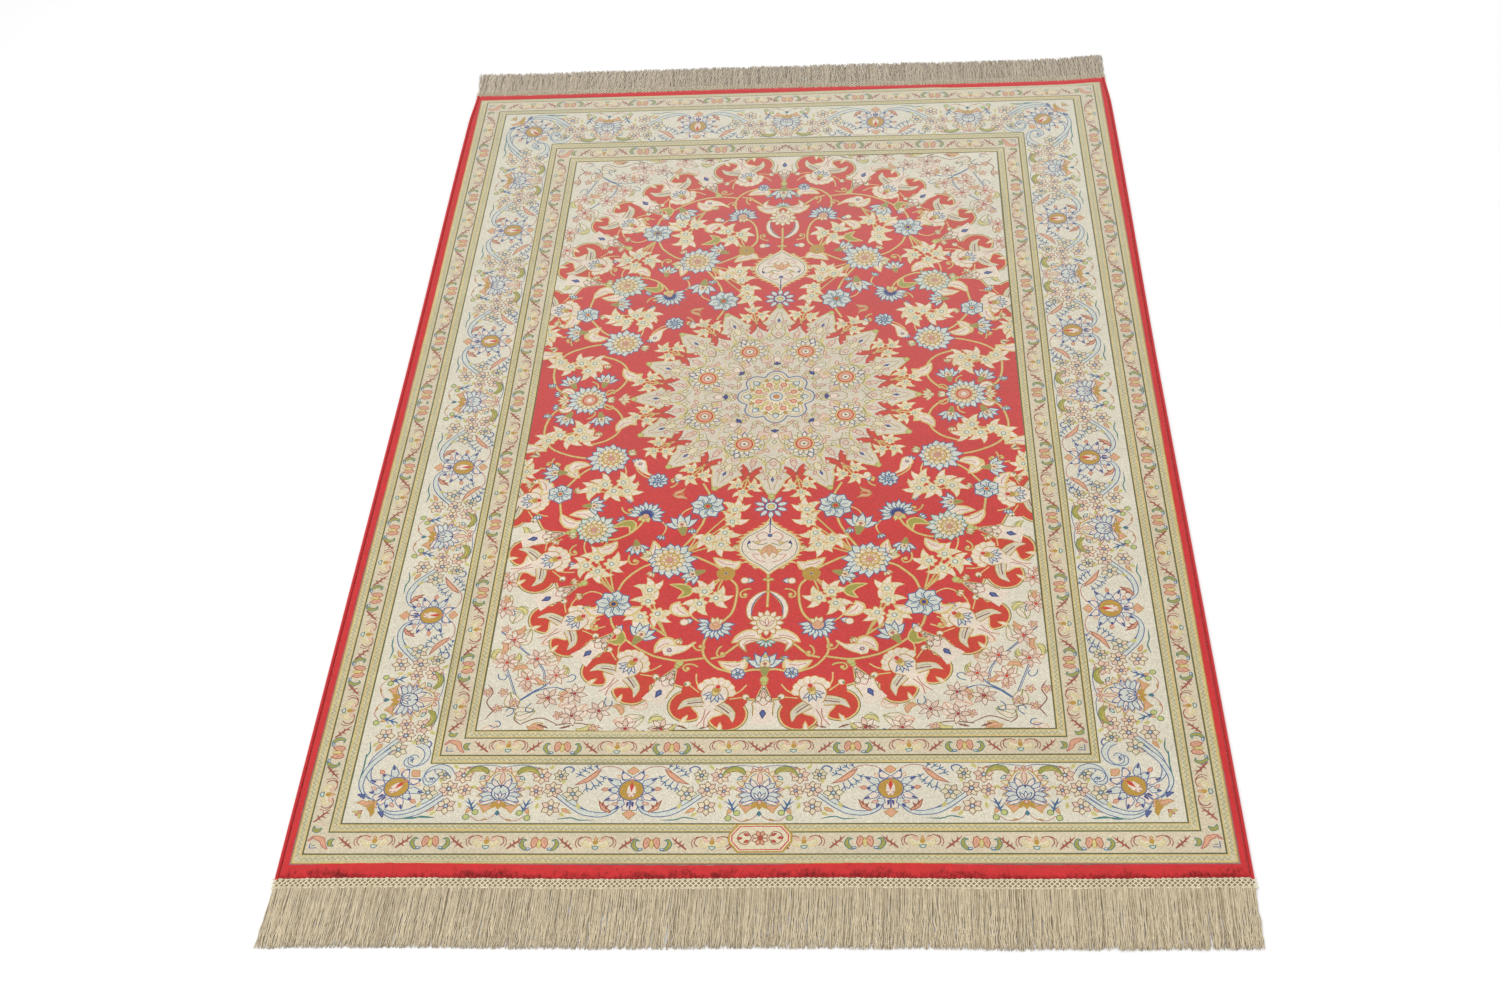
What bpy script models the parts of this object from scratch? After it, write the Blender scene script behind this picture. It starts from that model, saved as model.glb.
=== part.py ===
"""A hand-knotted Persian rug, lying flat, with a plaited header and a fringe at both ends.

Metres, +Z up, +X across the rug, +Y towards its back end. The origin is at the middle
of the rug's overall length and width, on the surface it lies on.

The rug is five pieces: the knotted cloth, an overcast selvedge cord along each side,
and at each end the warps, plaited into a narrow header and left hanging in locks.
"""

import math
import random
from bisect import bisect_right

import bmesh
import bpy

# --- Driving sizes, in metres ---
CLOTH_LENGTH = 1.500
FRONT_FRINGE_REACH = 0.085
BACK_FRINGE_REACH = 0.077
FRONT_HALF_WIDTH = 0.5045
BACK_FLARE = 0.0042
FLARE_START_Y = 0.0
FLARE_END_Y = 0.650
BACK_TUCK = 0.0030
BACK_TUCK_LENGTH = 0.075
SEAM_GAP = 0.0003

# --- Cloth ---
CLOTH_THICKNESS = 0.0045
RIM_DROP = 0.0010
RIM_INSET = 0.0014
CLOTH_CELLS_ACROSS = 22
CLOTH_CELLS_ALONG = 32
UNDULATION_FADE = 0.030
# Long, shallow waves in the pile face: height, waves across, waves along, phase.
UNDULATION = (
    {"height": 0.00022, "across": 0.8, "along": 2.3, "phase": 0.4},
    {"height": 0.00016, "across": 2.1, "along": 1.2, "phase": 2.1},
    {"height": 0.00012, "across": 1.4, "along": 4.7, "phase": 4.0},
)

# --- Ends of the cloth, which wander a little from straight ---
END_WANDER = 0.0009
FRONT_WANDER_WAVES = 2.3
FRONT_WANDER_PHASE = 0.6
BACK_WANDER_WAVES = 1.7
BACK_WANDER_PHASE = 2.0
WANDER_SHARE = 0.25
CORNER_DRAW = 0.0050
CORNER_DRAW_LENGTH = 0.070

# --- Selvedge cords ---
SELVEDGE_WIDTH = 0.0045
SELVEDGE_HEIGHT = 0.0042
# Half of a round cord, flat against the floor and the cloth: part of width, part of height.
SELVEDGE_SECTION = ((0.0, 0.0), (0.0, 0.80), (0.25, 1.0), (0.70, 0.88), (1.0, 0.45), (0.90, 0.0))

# --- Fringe ---
STRANDS_PER_END = 148
HEADER_DEPTH = 0.0110
HEADER_INNER_HEIGHT = 0.0026
HEADER_CREST_HEIGHT = 0.0032
HEADER_CREST_PLACE = 0.45
ROOT_HEIGHT = 0.0020
TIP_HEIGHT = 0.0013
ROOT_WIDTH_SHARE = 0.70
MIDDLE_WIDTH_SHARE = 0.66
TIP_WIDTH_SHARE = 0.50
MIDDLE_PLACE = 0.50
MIDDLE_LEAN_SHARE = 0.45
MIDDLE_DRIFT = 0.0007
TIP_DRIFT = 0.0010
FULL_LENGTH_ODDS = 0.35
FRONT_SHORTFALL = 0.0030
BACK_SHORTFALL = 0.0100
FRONT_LEAN = -0.0030
BACK_LEAN = 0.0
FRONT_SPREAD = 0.0
BACK_SPREAD = 0.0030
FRINGE_END_INSET = 0.0015
FRONT_SEED = 11
BACK_SEED = 23

# --- Derived places ---
CLOTH_CENTRE_Y = (FRONT_FRINGE_REACH - BACK_FRINGE_REACH) / 2
FRONT_END_Y = CLOTH_CENTRE_Y - CLOTH_LENGTH / 2
BACK_END_Y = CLOTH_CENTRE_Y + CLOTH_LENGTH / 2

# --- Finishes: base colour (linear), roughness, metallic ---
FINISHES = {
    "crimson_pile": ((0.58, 0.05, 0.05), 0.75, 0.0),
    "overcast_silk": ((0.42, 0.02, 0.03), 0.70, 0.0),
    "fringe_silk": ((0.56, 0.48, 0.31), 0.80, 0.0),
}


def clear_scene():
    """Remove every object that the scene holds."""
    for old in list(bpy.data.objects):
        bpy.data.objects.remove(old, do_unlink=True)


def make_material(name):
    """A Principled material for one piece."""
    colour, roughness, metallic = FINISHES[name]
    material = bpy.data.materials.new(name)
    material.use_nodes = True
    shader = material.node_tree.nodes["Principled BSDF"]
    shader.inputs["Base Color"].default_value = (*colour, 1.0)
    shader.inputs["Roughness"].default_value = roughness
    shader.inputs["Metallic"].default_value = metallic
    return material


def smooth_step(value):
    """Ease from 0 to 1 as value goes from 0 to 1."""
    value = min(1.0, max(0.0, value))
    return value * value * (3.0 - 2.0 * value)


def outer_half_width(y):
    """Half the rug's width at y, selvedge included: wider towards the back, tucked at its end."""
    flare = BACK_FLARE * smooth_step((y - FLARE_START_Y) / (FLARE_END_Y - FLARE_START_Y))
    tuck = BACK_TUCK * smooth_step((y - BACK_END_Y + BACK_TUCK_LENGTH) / BACK_TUCK_LENGTH)
    return FRONT_HALF_WIDTH + flare - tuck


def cloth_half_width(y):
    """Half the knotted cloth's width at y, inside the selvedge."""
    return outer_half_width(y) - SELVEDGE_WIDTH - SEAM_GAP


def front_wander(x):
    """How far the front end of the cloth strays from straight at x."""
    return END_WANDER * math.sin(2 * math.pi * FRONT_WANDER_WAVES * x + FRONT_WANDER_PHASE)


def back_wander(x):
    """How far the back end strays at x, with the right corner drawn out."""
    draw = CORNER_DRAW * smooth_step((x - FRONT_HALF_WIDTH + CORNER_DRAW_LENGTH) / CORNER_DRAW_LENGTH)
    wander = END_WANDER * math.sin(2 * math.pi * BACK_WANDER_WAVES * x + BACK_WANDER_PHASE)
    return wander + draw


def cloth_stations():
    """The grid's lines, as shares from -1 to 1 across and 0 to 1 along."""
    across = [2.0 * i / CLOTH_CELLS_ACROSS - 1.0 for i in range(CLOTH_CELLS_ACROSS + 1)]
    along = [j / CLOTH_CELLS_ALONG for j in range(CLOTH_CELLS_ALONG + 1)]
    return across, along


def cloth_point(share_across, share_along):
    """The plan place of a point of the cloth, from its shares."""
    y_straight = FRONT_END_Y + share_along * CLOTH_LENGTH
    x = share_across * cloth_half_width(y_straight)
    near_front = max(0.0, 1.0 - share_along / WANDER_SHARE)
    near_back = max(0.0, 1.0 - (1.0 - share_along) / WANDER_SHARE)
    return x, y_straight + near_front * front_wander(x) + near_back * back_wander(x)


def pile_height(x, y):
    """Height of the pile face at a place, level near the rug's edges."""
    to_side = cloth_half_width(y) - abs(x)
    to_end = min(y - FRONT_END_Y, BACK_END_Y - y)
    fade = smooth_step(min(to_side, to_end) / UNDULATION_FADE)
    wave = sum(
        row["height"]
        * math.sin(2 * math.pi * row["across"] * x + row["phase"])
        * math.cos(2 * math.pi * row["along"] * y + row["phase"])
        for row in UNDULATION
    )
    return CLOTH_THICKNESS + fade * wave


def finish_object(name, mesh_data, material):
    """Put a bmesh in the scene as one smooth-shaded piece."""
    bmesh.ops.recalc_face_normals(mesh_data, faces=mesh_data.faces)
    mesh = bpy.data.meshes.new(name)
    mesh_data.to_mesh(mesh)
    mesh_data.free()
    mesh.materials.append(material)
    mesh.shade_smooth()
    mesh.set_sharp_from_angle(angle=math.radians(40))
    piece = bpy.data.objects.new(name, mesh)
    bpy.context.scene.collection.objects.link(piece)
    return piece


def bridge(mesh_data, first_ring, second_ring, closed=True):
    """Join two rings of equal length with quads."""
    count = len(first_ring) if closed else len(first_ring) - 1
    for i in range(count):
        j = (i + 1) % len(first_ring)
        mesh_data.faces.new((first_ring[i], first_ring[j], second_ring[j], second_ring[i]))


def rim_ring(grid):
    """The grid's outer vertices, once round."""
    last_row = grid[-1]
    ring = list(grid[0])
    ring += [row[-1] for row in grid[1:]]
    ring += list(reversed(last_row[:-1]))
    ring += [row[0] for row in reversed(grid[1:-1])]
    return ring


def make_cloth(material):
    """The knotted cloth: a flat underside, upright edges, a rounded rim and the pile face."""
    mesh_data = bmesh.new()
    across, along = cloth_stations()
    grid = []
    for v in along:
        row = []
        for u in across:
            x, y = cloth_point(u, v)
            at_side = abs(abs(u) - 1.0) < 1e-9
            at_end = v in (along[0], along[-1])
            if at_side:
                x -= math.copysign(RIM_INSET, x)
            if at_end:
                y += RIM_INSET if v == along[0] else -RIM_INSET
            row.append(mesh_data.verts.new((x, y, pile_height(x, y))))
        grid.append(row)
    for lower, upper in zip(grid, grid[1:]):
        bridge(mesh_data, lower, upper, closed=False)

    places = [[cloth_point(u, v) for u in across] for v in along]
    outline = rim_ring(places)
    face_ring = rim_ring(grid)
    shoulder = [mesh_data.verts.new((x, y, CLOTH_THICKNESS - RIM_DROP)) for x, y in outline]
    foot = [mesh_data.verts.new((x, y, 0.0)) for x, y in outline]
    bridge(mesh_data, face_ring, shoulder)
    bridge(mesh_data, shoulder, foot)
    mesh_data.faces.new(foot)
    return finish_object("rug_cloth", mesh_data, material)


def make_selvedge(name, side, material):
    """The overcast cord along one side, following the cloth's edge."""
    mesh_data = bmesh.new()
    rings = []
    for v in cloth_stations()[1]:
        edge_x, y = cloth_point(side, v)
        ring = []
        for part_width, part_height in SELVEDGE_SECTION:
            x = edge_x + side * (SEAM_GAP + part_width * SELVEDGE_WIDTH)
            ring.append(mesh_data.verts.new((x, y, part_height * SELVEDGE_HEIGHT)))
        rings.append(ring)
    for lower, upper in zip(rings, rings[1:]):
        bridge(mesh_data, lower, upper)
    mesh_data.faces.new(rings[0])
    mesh_data.faces.new(rings[-1])
    return finish_object(name, mesh_data, material)


def end_line(share_along, x):
    """Where the cloth ends at x, carried on level past its corners for the selvedges."""
    points = [cloth_point(u, share_along) for u in cloth_stations()[0]]
    xs = [point[0] for point in points]
    if x <= xs[0]:
        return points[0][1]
    if x >= xs[-1]:
        return points[-1][1]
    i = bisect_right(xs, x) - 1
    part = (x - xs[i]) / (xs[i + 1] - xs[i])
    return points[i][1] + part * (points[i + 1][1] - points[i][1])


def strand_columns(half_width):
    """The left and right x of each strand's root, evenly spaced over the rug's width."""
    span = 2 * (half_width - FRINGE_END_INSET)
    width = ROOT_WIDTH_SHARE * span / (STRANDS_PER_END - 1 + ROOT_WIDTH_SHARE)
    pitch = width / ROOT_WIDTH_SHARE
    return [(i * pitch - span / 2, i * pitch - span / 2 + width) for i in range(STRANDS_PER_END)]


def header_section(x, line_y, outward):
    """The header's section at x, from its foot at the cloth round to its outer foot."""
    inner_y = line_y + outward * SEAM_GAP
    crest_y = inner_y + outward * HEADER_CREST_PLACE * HEADER_DEPTH
    outer_y = inner_y + outward * HEADER_DEPTH
    return (
        (x, inner_y, 0.0),
        (x, inner_y, HEADER_INNER_HEIGHT),
        (x, crest_y, HEADER_CREST_HEIGHT),
        (x, outer_y, ROOT_HEIGHT),
        (x, outer_y, 0.0),
    )


def strand_ring(mesh_data, centre_x, y, width, height):
    """A four-sided strand's section, flat on the floor, in the order of its root's corners."""
    left = centre_x - width / 2
    right = centre_x + width / 2
    corners = ((left, 0.0), (right, 0.0), (right, height), (left, height))
    return [mesh_data.verts.new((x, y, z)) for x, z in corners]


def make_strand(mesh_data, root, tip_y, spread, lean, chance):
    """One lock of the fringe, from the header's outer face to its tip."""
    root_x = (root[0].co.x + root[1].co.x) / 2
    root_y = root[0].co.y
    width = root[1].co.x - root[0].co.x
    tip_shift = lean + spread * root_x / FRONT_HALF_WIDTH
    middle_x = root_x + MIDDLE_LEAN_SHARE * tip_shift + chance.uniform(-MIDDLE_DRIFT, MIDDLE_DRIFT)
    tip_x = root_x + tip_shift + chance.uniform(-TIP_DRIFT, TIP_DRIFT)
    middle_y = root_y + MIDDLE_PLACE * (tip_y - root_y)
    middle_width = width * MIDDLE_WIDTH_SHARE / ROOT_WIDTH_SHARE
    tip_width = width * TIP_WIDTH_SHARE / ROOT_WIDTH_SHARE
    middle = strand_ring(mesh_data, middle_x, middle_y, middle_width, (ROOT_HEIGHT + TIP_HEIGHT) / 2)
    tip = strand_ring(mesh_data, tip_x, tip_y, tip_width, TIP_HEIGHT)
    bridge(mesh_data, root, middle)
    bridge(mesh_data, middle, tip)
    mesh_data.faces.new(tip)


def make_fringe(name, outward, material):
    """A plaited header along one end of the cloth, with its warps left long as locks."""
    at_back = outward > 0
    share_along = 1.0 if at_back else 0.0
    reach = BACK_FRINGE_REACH if at_back else FRONT_FRINGE_REACH
    shortfall = BACK_SHORTFALL if at_back else FRONT_SHORTFALL
    lean = BACK_LEAN if at_back else FRONT_LEAN
    spread = BACK_SPREAD if at_back else FRONT_SPREAD
    straight_end = BACK_END_Y if at_back else FRONT_END_Y
    furthest_tip = straight_end + outward * reach
    chance = random.Random(BACK_SEED if at_back else FRONT_SEED)

    mesh_data = bmesh.new()
    sections = []
    for pair in strand_columns(outer_half_width(straight_end)):
        for x in pair:
            points = header_section(x, end_line(share_along, x), outward)
            sections.append([mesh_data.verts.new(point) for point in points])
    for index, (left, right) in enumerate(zip(sections, sections[1:])):
        carries_strand = index % 2 == 0
        for i in range(len(left)):
            j = (i + 1) % len(left)
            outer_face = i == len(left) - 2
            if not (carries_strand and outer_face):
                mesh_data.faces.new((left[i], left[j], right[j], right[i]))
    mesh_data.faces.new(sections[0])
    mesh_data.faces.new(sections[-1])

    for left, right in zip(sections[0::2], sections[1::2]):
        root = [left[4], right[4], right[3], left[3]]
        short = max(0.0, chance.uniform(-FULL_LENGTH_ODDS, 1.0)) * shortfall
        make_strand(mesh_data, root, furthest_tip - outward * short, spread, lean, chance)
    return finish_object(name, mesh_data, material)


def main():
    """Make the rug's five pieces."""
    clear_scene()
    pile = make_material("crimson_pile")
    overcast = make_material("overcast_silk")
    warps = make_material("fringe_silk")
    make_cloth(pile)
    make_selvedge("selvedge_left", -1.0, overcast)
    make_selvedge("selvedge_right", 1.0, overcast.copy())
    make_fringe("fringe_front", -1.0, warps)
    make_fringe("fringe_back", 1.0, warps.copy())


main()
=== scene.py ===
"""The looks of a hand-knotted silk rug with plaited headers and long fringes, laid on its solid frame."""
import cmath
import math
import random

import bmesh
import bpy
from mathutils import Matrix, Vector
from mathutils.geometry import delaunay_2d_cdt


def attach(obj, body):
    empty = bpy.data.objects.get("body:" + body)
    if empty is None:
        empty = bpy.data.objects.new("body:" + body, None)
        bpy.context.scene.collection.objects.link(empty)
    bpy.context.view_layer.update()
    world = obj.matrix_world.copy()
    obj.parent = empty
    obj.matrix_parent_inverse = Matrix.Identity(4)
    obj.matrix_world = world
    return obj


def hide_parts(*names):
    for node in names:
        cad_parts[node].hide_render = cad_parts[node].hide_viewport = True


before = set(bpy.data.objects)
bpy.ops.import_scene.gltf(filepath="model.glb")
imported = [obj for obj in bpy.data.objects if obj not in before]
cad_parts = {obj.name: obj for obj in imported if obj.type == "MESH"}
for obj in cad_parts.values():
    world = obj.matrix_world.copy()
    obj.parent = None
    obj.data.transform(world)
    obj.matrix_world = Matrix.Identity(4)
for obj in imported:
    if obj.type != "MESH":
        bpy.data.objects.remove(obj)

bl_info = {
    "name": "Persian rug",
    "version": (1, 0, 0),
    "blender": (4, 5, 0),
    "location": "3D View > Sidebar > Rug",
    "description": "Knots, wraps, plaits and fringes a silk rug on its solid frame, and lights it",
    "category": "Object",
}

BODY = "root"

# === The cloth's plan, in metres, as in the frame ===
CLOTH_LENGTH = 1.500
FRONT_END_Y = -0.746
BACK_END_Y = FRONT_END_Y + CLOTH_LENGTH
FRONT_HALF_WIDTH = 0.5045
BACK_FLARE = 0.0042
FLARE_END_Y = 0.650
BACK_TUCK = 0.0030
BACK_TUCK_LENGTH = 0.075
SEAM_GAP = 0.0003
SELVEDGE_WIDTH = 0.0045
SELVEDGE_HEIGHT = 0.0042
CLOTH_THICKNESS = 0.0045
UNDULATION_FADE = 0.030
UNDULATION = (
    # height, waves across, waves along, phase
    (0.00022, 0.8, 2.3, 0.4),
    (0.00016, 2.1, 1.2, 2.1),
    (0.00012, 1.4, 4.7, 4.0),
)
END_WANDER = 0.0009
FRONT_WAVES, FRONT_PHASE = 2.3, 0.6
BACK_WAVES, BACK_PHASE = 1.7, 2.0
WANDER_SHARE = 0.25
CORNER_DRAW = 0.0050
CORNER_DRAW_LENGTH = 0.070
HEADER_DEPTH = 0.0110

# === The pattern's place on the cloth ===
MILLIMETRE = 0.001
PATTERN_SHIFT = (0.0005, 0.0010)
BACK_STRETCH = (
    # distance from the middle in the chart, and on the rug's back half, in millimetres
    (0.0, 0.0),
    (555.0, 556.0),
    (567.5, 568.0),
    (589.0, 593.6),
    (602.0, 608.5),
    (679.0, 694.5),
    (691.5, 705.6),
    (717.0, 730.8),
    (731.0, 739.3),
)
PATTERN_FLARE = 0.0085
PLATE_MIDDLE = (2.0, -698.0)
PLATE_REACH = (34.0, 18.0)
PLATE_LIFT = 0.0003
LINE_WANDER = (
    # step, waves across, waves along, phase: how far hand-knotted lines stray
    (0.0009, 1.9, 0.7, 0.8),
    (0.0006, 3.7, 2.9, 2.6),
    (0.00022, 31.0, 23.0, 1.1),
    (0.00016, 67.0, 59.0, 4.4),
)


def smooth_step(value):
    """An even ramp from 0 to 1."""
    value = min(1.0, max(0.0, value))
    return value * value * (3.0 - 2.0 * value)


def outer_half_width(y):
    """From the rug's middle line to the outside of its selvedge."""
    flare = BACK_FLARE * smooth_step(y / FLARE_END_Y)
    tuck = BACK_TUCK * smooth_step((y - BACK_END_Y + BACK_TUCK_LENGTH) / BACK_TUCK_LENGTH)
    return FRONT_HALF_WIDTH + flare - tuck


def cloth_half_width(y):
    """From the rug's middle line to the knotted cloth's side."""
    return outer_half_width(y) - SELVEDGE_WIDTH - SEAM_GAP


def front_wander(x):
    """How far the cloth's front end strays from straight."""
    return END_WANDER * math.sin(2 * math.pi * FRONT_WAVES * x + FRONT_PHASE)


def back_wander(x):
    """How far the back end strays, with its right corner drawn out."""
    draw = CORNER_DRAW * smooth_step((x - FRONT_HALF_WIDTH + CORNER_DRAW_LENGTH) / CORNER_DRAW_LENGTH)
    return END_WANDER * math.sin(2 * math.pi * BACK_WAVES * x + BACK_PHASE) + draw


def end_drift(x, v):
    """How far a point strays along the rug, for its share v of the way to the back."""
    near_front = max(0.0, 1.0 - v / WANDER_SHARE)
    near_back = max(0.0, 1.0 - (1.0 - v) / WANDER_SHARE)
    return near_front * front_wander(x) + near_back * back_wander(x)


def cloth_point(u, v):
    """A point of the cloth's plan: u from -1 to 1 across, v from 0 to 1 along."""
    y = FRONT_END_Y + v * CLOTH_LENGTH
    x = u * cloth_half_width(y)
    return x, y + end_drift(x, v)


def pile_height(x, y):
    """The height of the pile's face."""
    to_side = cloth_half_width(y) - abs(x)
    to_end = min(y - FRONT_END_Y, BACK_END_Y - y)
    fade = smooth_step(min(to_side, to_end) / UNDULATION_FADE)
    swell = sum(height * math.sin(2 * math.pi * across * x + phase)
                * math.cos(2 * math.pi * along * y + phase) for height, across, along, phase in UNDULATION)
    return CLOTH_THICKNESS + fade * swell


def stretched(distance):
    """A chart's distance from the middle, as knotted on the back half."""
    for (a, from_a), (b, from_b) in zip(BACK_STRETCH, BACK_STRETCH[1:]):
        if distance <= b:
            break
    return from_a + (distance - a) * (from_b - from_a) / (b - a)


def pattern_point(x, y):
    """Where a place of the whole pattern, in millimetres from its middle, lies on the rug."""
    along = MILLIMETRE * (stretched(y) if y > 0 else y) + PATTERN_SHIFT[1]
    flare = 1.0 + PATTERN_FLARE * max(0.0, along / BACK_END_Y) ** 1.5
    across = MILLIMETRE * x * flare + PATTERN_SHIFT[0]
    share = (along - FRONT_END_Y) / CLOTH_LENGTH
    sway = sum(step * math.sin(2 * math.pi * (wide * across + far * along) + phase)
               for step, wide, far, phase in LINE_WANDER)
    lift = sum(step * math.cos(2 * math.pi * (wide * across - far * along) + phase)
               for step, wide, far, phase in LINE_WANDER)
    return across + 0.6 * sway, along + 0.8 * lift + end_drift(across, share)


# === What a user would change ===
# The yarns as a screen shows them: red, green and blue up to 255.
DYES = {
    "red": (216, 54, 54), "scarlet": (216, 62, 44), "crimson": (170, 40, 50), "ivory": (248, 230, 208),
    "pearl": (229, 217, 195), "cream": (240, 226, 190), "border": (238, 230, 207), "guard": (229, 214, 183),
    "stripe": (220, 210, 174), "gold": (230, 202, 128), "amber": (192, 150, 74), "ochre": (198, 154, 60),
    "straw": (226, 212, 140), "peach": (232, 172, 136), "blush": (236, 206, 182), "pink": (214, 150, 138),
    "rose": (190, 112, 98), "rust": (164, 88, 70), "umber": (136, 82, 62), "brown": (118, 88, 58),
    "blue": (58, 104, 150), "steel": (84, 106, 156), "navy": (56, 60, 130), "mauve": (150, 116, 130),
    "teal": (66, 128, 126), "ice": (222, 226, 212), "white": (234, 238, 224), "olive": (158, 154, 84),
    "leaf": (172, 164, 74), "green": (98, 126, 90), "sprout": (200, 204, 124), "lineolive": (104, 104, 62),
}


def screen(*channels):
    """A screen's colour as the shader reads it."""
    return tuple((channel / 255) ** 2.2 for channel in channels)


def dye_property(name, colour):
    """A colour of the yarn."""
    return bpy.props.FloatVectorProperty(
        name=name.capitalize(), description=f"Colour of the {name} yarn", subtype="COLOR", size=3,
        min=0.0, max=1.0, default=screen(*colour))


def size_property(name, description, default):
    """A length in metres."""
    return bpy.props.FloatProperty(name=name, description=description, default=default, min=0.0,
            subtype="DISTANCE", unit="LENGTH", precision=5)


class RugDyes(bpy.types.PropertyGroup):
    """The colours of the pile."""

    __annotations__ = {name: dye_property(name, colour) for name, colour in DYES.items()}


class RugSizes(bpy.types.PropertyGroup):
    """The sizes of the yarns and of what they make."""

    knot: size_property("Knot", "Width of one knot of the pile", 0.0011)
    pile: size_property("Pile", "Height of the pile above the foundation", 0.0012)
    wrap: size_property("Wrap", "Pitch of the yarn wrapped round the side cords", 0.0024)
    plait: size_property("Plait", "Pitch of the header's plait", 0.0056)
    yarn: size_property("Yarn", "Thickness of one fringe yarn", 0.0013)
    yarn_pitch: size_property("Yarn pitch", "Spacing of the fringe yarns in one layer", 0.0011)


class RugStage(bpy.types.PropertyGroup):
    """The floor and the lights."""

    floor: bpy.props.FloatVectorProperty(
        name="Floor", description="Colour of the floor", subtype="COLOR", size=3,
        min=0.0, max=1.0, default=(0.92, 0.92, 0.92))
    key: bpy.props.FloatProperty(
        name="Key light", description="Power of the large light overhead", default=30.0, min=0.0,
        subtype="POWER", unit="POWER")
    fill: bpy.props.FloatProperty(
        name="Fill light", description="Power of the light at the back", default=12.0, min=0.0,
        subtype="POWER", unit="POWER")
    sky: bpy.props.FloatProperty(
        name="Sky", description="Strength of the even light all round", default=0.85, min=0.0)


# === The pattern, as flat shapes in millimetres from its middle; drawn for one quarter ===
# The bands of the pattern, as distances from the rug's middle: to the side, to the end.
BANDS = {
    "field": (319, 555),
    "first_stripe": (331.5, 567.5),
    "inner_guard": (353.5, 589),
    "second_stripe": (364, 602),
    "main_border": (445, 679),
    "third_stripe": (458.5, 691.5),
    "outer_guard": (479, 717),
    "fourth_stripe": (492, 731),
}
FINE = 1.3
VINE = 3.4


def heading(degrees):
    """The unit step in a direction."""
    return cmath.rect(1, math.radians(degrees))


def signed_area(points):
    """Twice a polygon's area, above zero if it runs anticlockwise."""
    return sum((a.conjugate() * b).imag for a, b in zip(points, points[1:] + points[:1]))


def curve(knots, closed=False, steps=5):
    """A smooth line through the knots."""
    last = len(knots) if closed else len(knots) - 1
    line = []
    for i in range(last):
        if closed:
            a, b, c, d = (knots[(i + k) % len(knots)] for k in (-1, 0, 1, 2))
        else:
            a, b, c, d = (knots[min(max(i + k, 0), len(knots) - 1)] for k in (-1, 0, 1, 2))
        for step in range(steps):
            t = step / steps
            line.append(0.5 * (2 * b + (c - a) * t + (2 * a - 5 * b + 4 * c - d) * t * t
                               + (3 * b - a - 3 * c + d) * t * t * t))
    return line if closed else line + [knots[-1]]


def sideways(line, closed=False):
    """The mitred step to the left at each point of a line."""
    steps = []
    count = len(line)
    for i, point in enumerate(line):
        before = point - line[i - 1] if closed or i else line[1] - point
        after = line[(i + 1) % count] - point if closed or i < count - 1 else before
        before = before / (abs(before) or 1)
        after = after / (abs(after) or 1)
        middle = before + after
        middle = middle / abs(middle) if abs(middle) > 1e-6 else before
        spread = max(0.45, (middle.conjugate() * after).real)
        steps.append(middle * 1j / spread)
    return steps


def inset(points, width):
    """A polygon drawn in by a width."""
    turn = 1 if signed_area(points) > 0 else -1
    steps = sideways(points, closed=True)
    return [point + turn * width * step for point, step in zip(points, steps)]


def blade(spine, profile):
    """The outline of a shape laid along a spine, with its half width at even places."""
    steps = sideways(spine)
    last = len(spine) - 1
    left, right = [], []
    for i, (point, step) in enumerate(zip(spine, steps)):
        place = i / last * (len(profile) - 1)
        k = min(int(place), len(profile) - 2)
        half = profile[k] + (place - k) * (profile[k + 1] - profile[k])
        if half < 0.05:
            left.append(point)
        else:
            left.append(point + half * step)
            right.append(point - half * step)
    return left + right[::-1]


def disc(radius, sides=10, centre=0j):
    """A round outline."""
    return [centre + cmath.rect(radius, 2 * math.pi * i / sides) for i in range(sides)]


def petal(length, width, start=0, low=0.32+0.9j, high=0.66+0.85j):
    """A pointed petal that runs out along +x; low and high are its shares of length and half width there."""
    half = width / 2
    upper = [start, start + low.real * length + half * low.imag * 1j,
             start + high.real * length + half * high.imag * 1j, start + length]
    return upper + [p.conjugate() for p in upper[2:0:-1]]


def lance(length, width, start=0):
    """A sharper petal, widest near its root."""
    return petal(length, width, start, 0.30+1j, 0.62+0.72j)


def box(x0, y0, x1, y1):
    """A rectangle's corners."""
    return [complex(x0, y0), complex(x1, y0), complex(x1, y1), complex(x0, y1)]


class Chart:
    """Flat shapes in the order they are laid, each with its dye."""

    def __init__(self):
        self.shapes = []
        self.zones = {}

    def lay(self, dye, points, zone=0):
        """Add one shape; what lies on it belongs to its zone."""
        if abs(signed_area(points)) > 0.02:
            if zone:
                self.zones[len(self.shapes)] = zone
            self.shapes.append((dye, points if signed_area(points) > 0 else points[::-1]))


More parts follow.
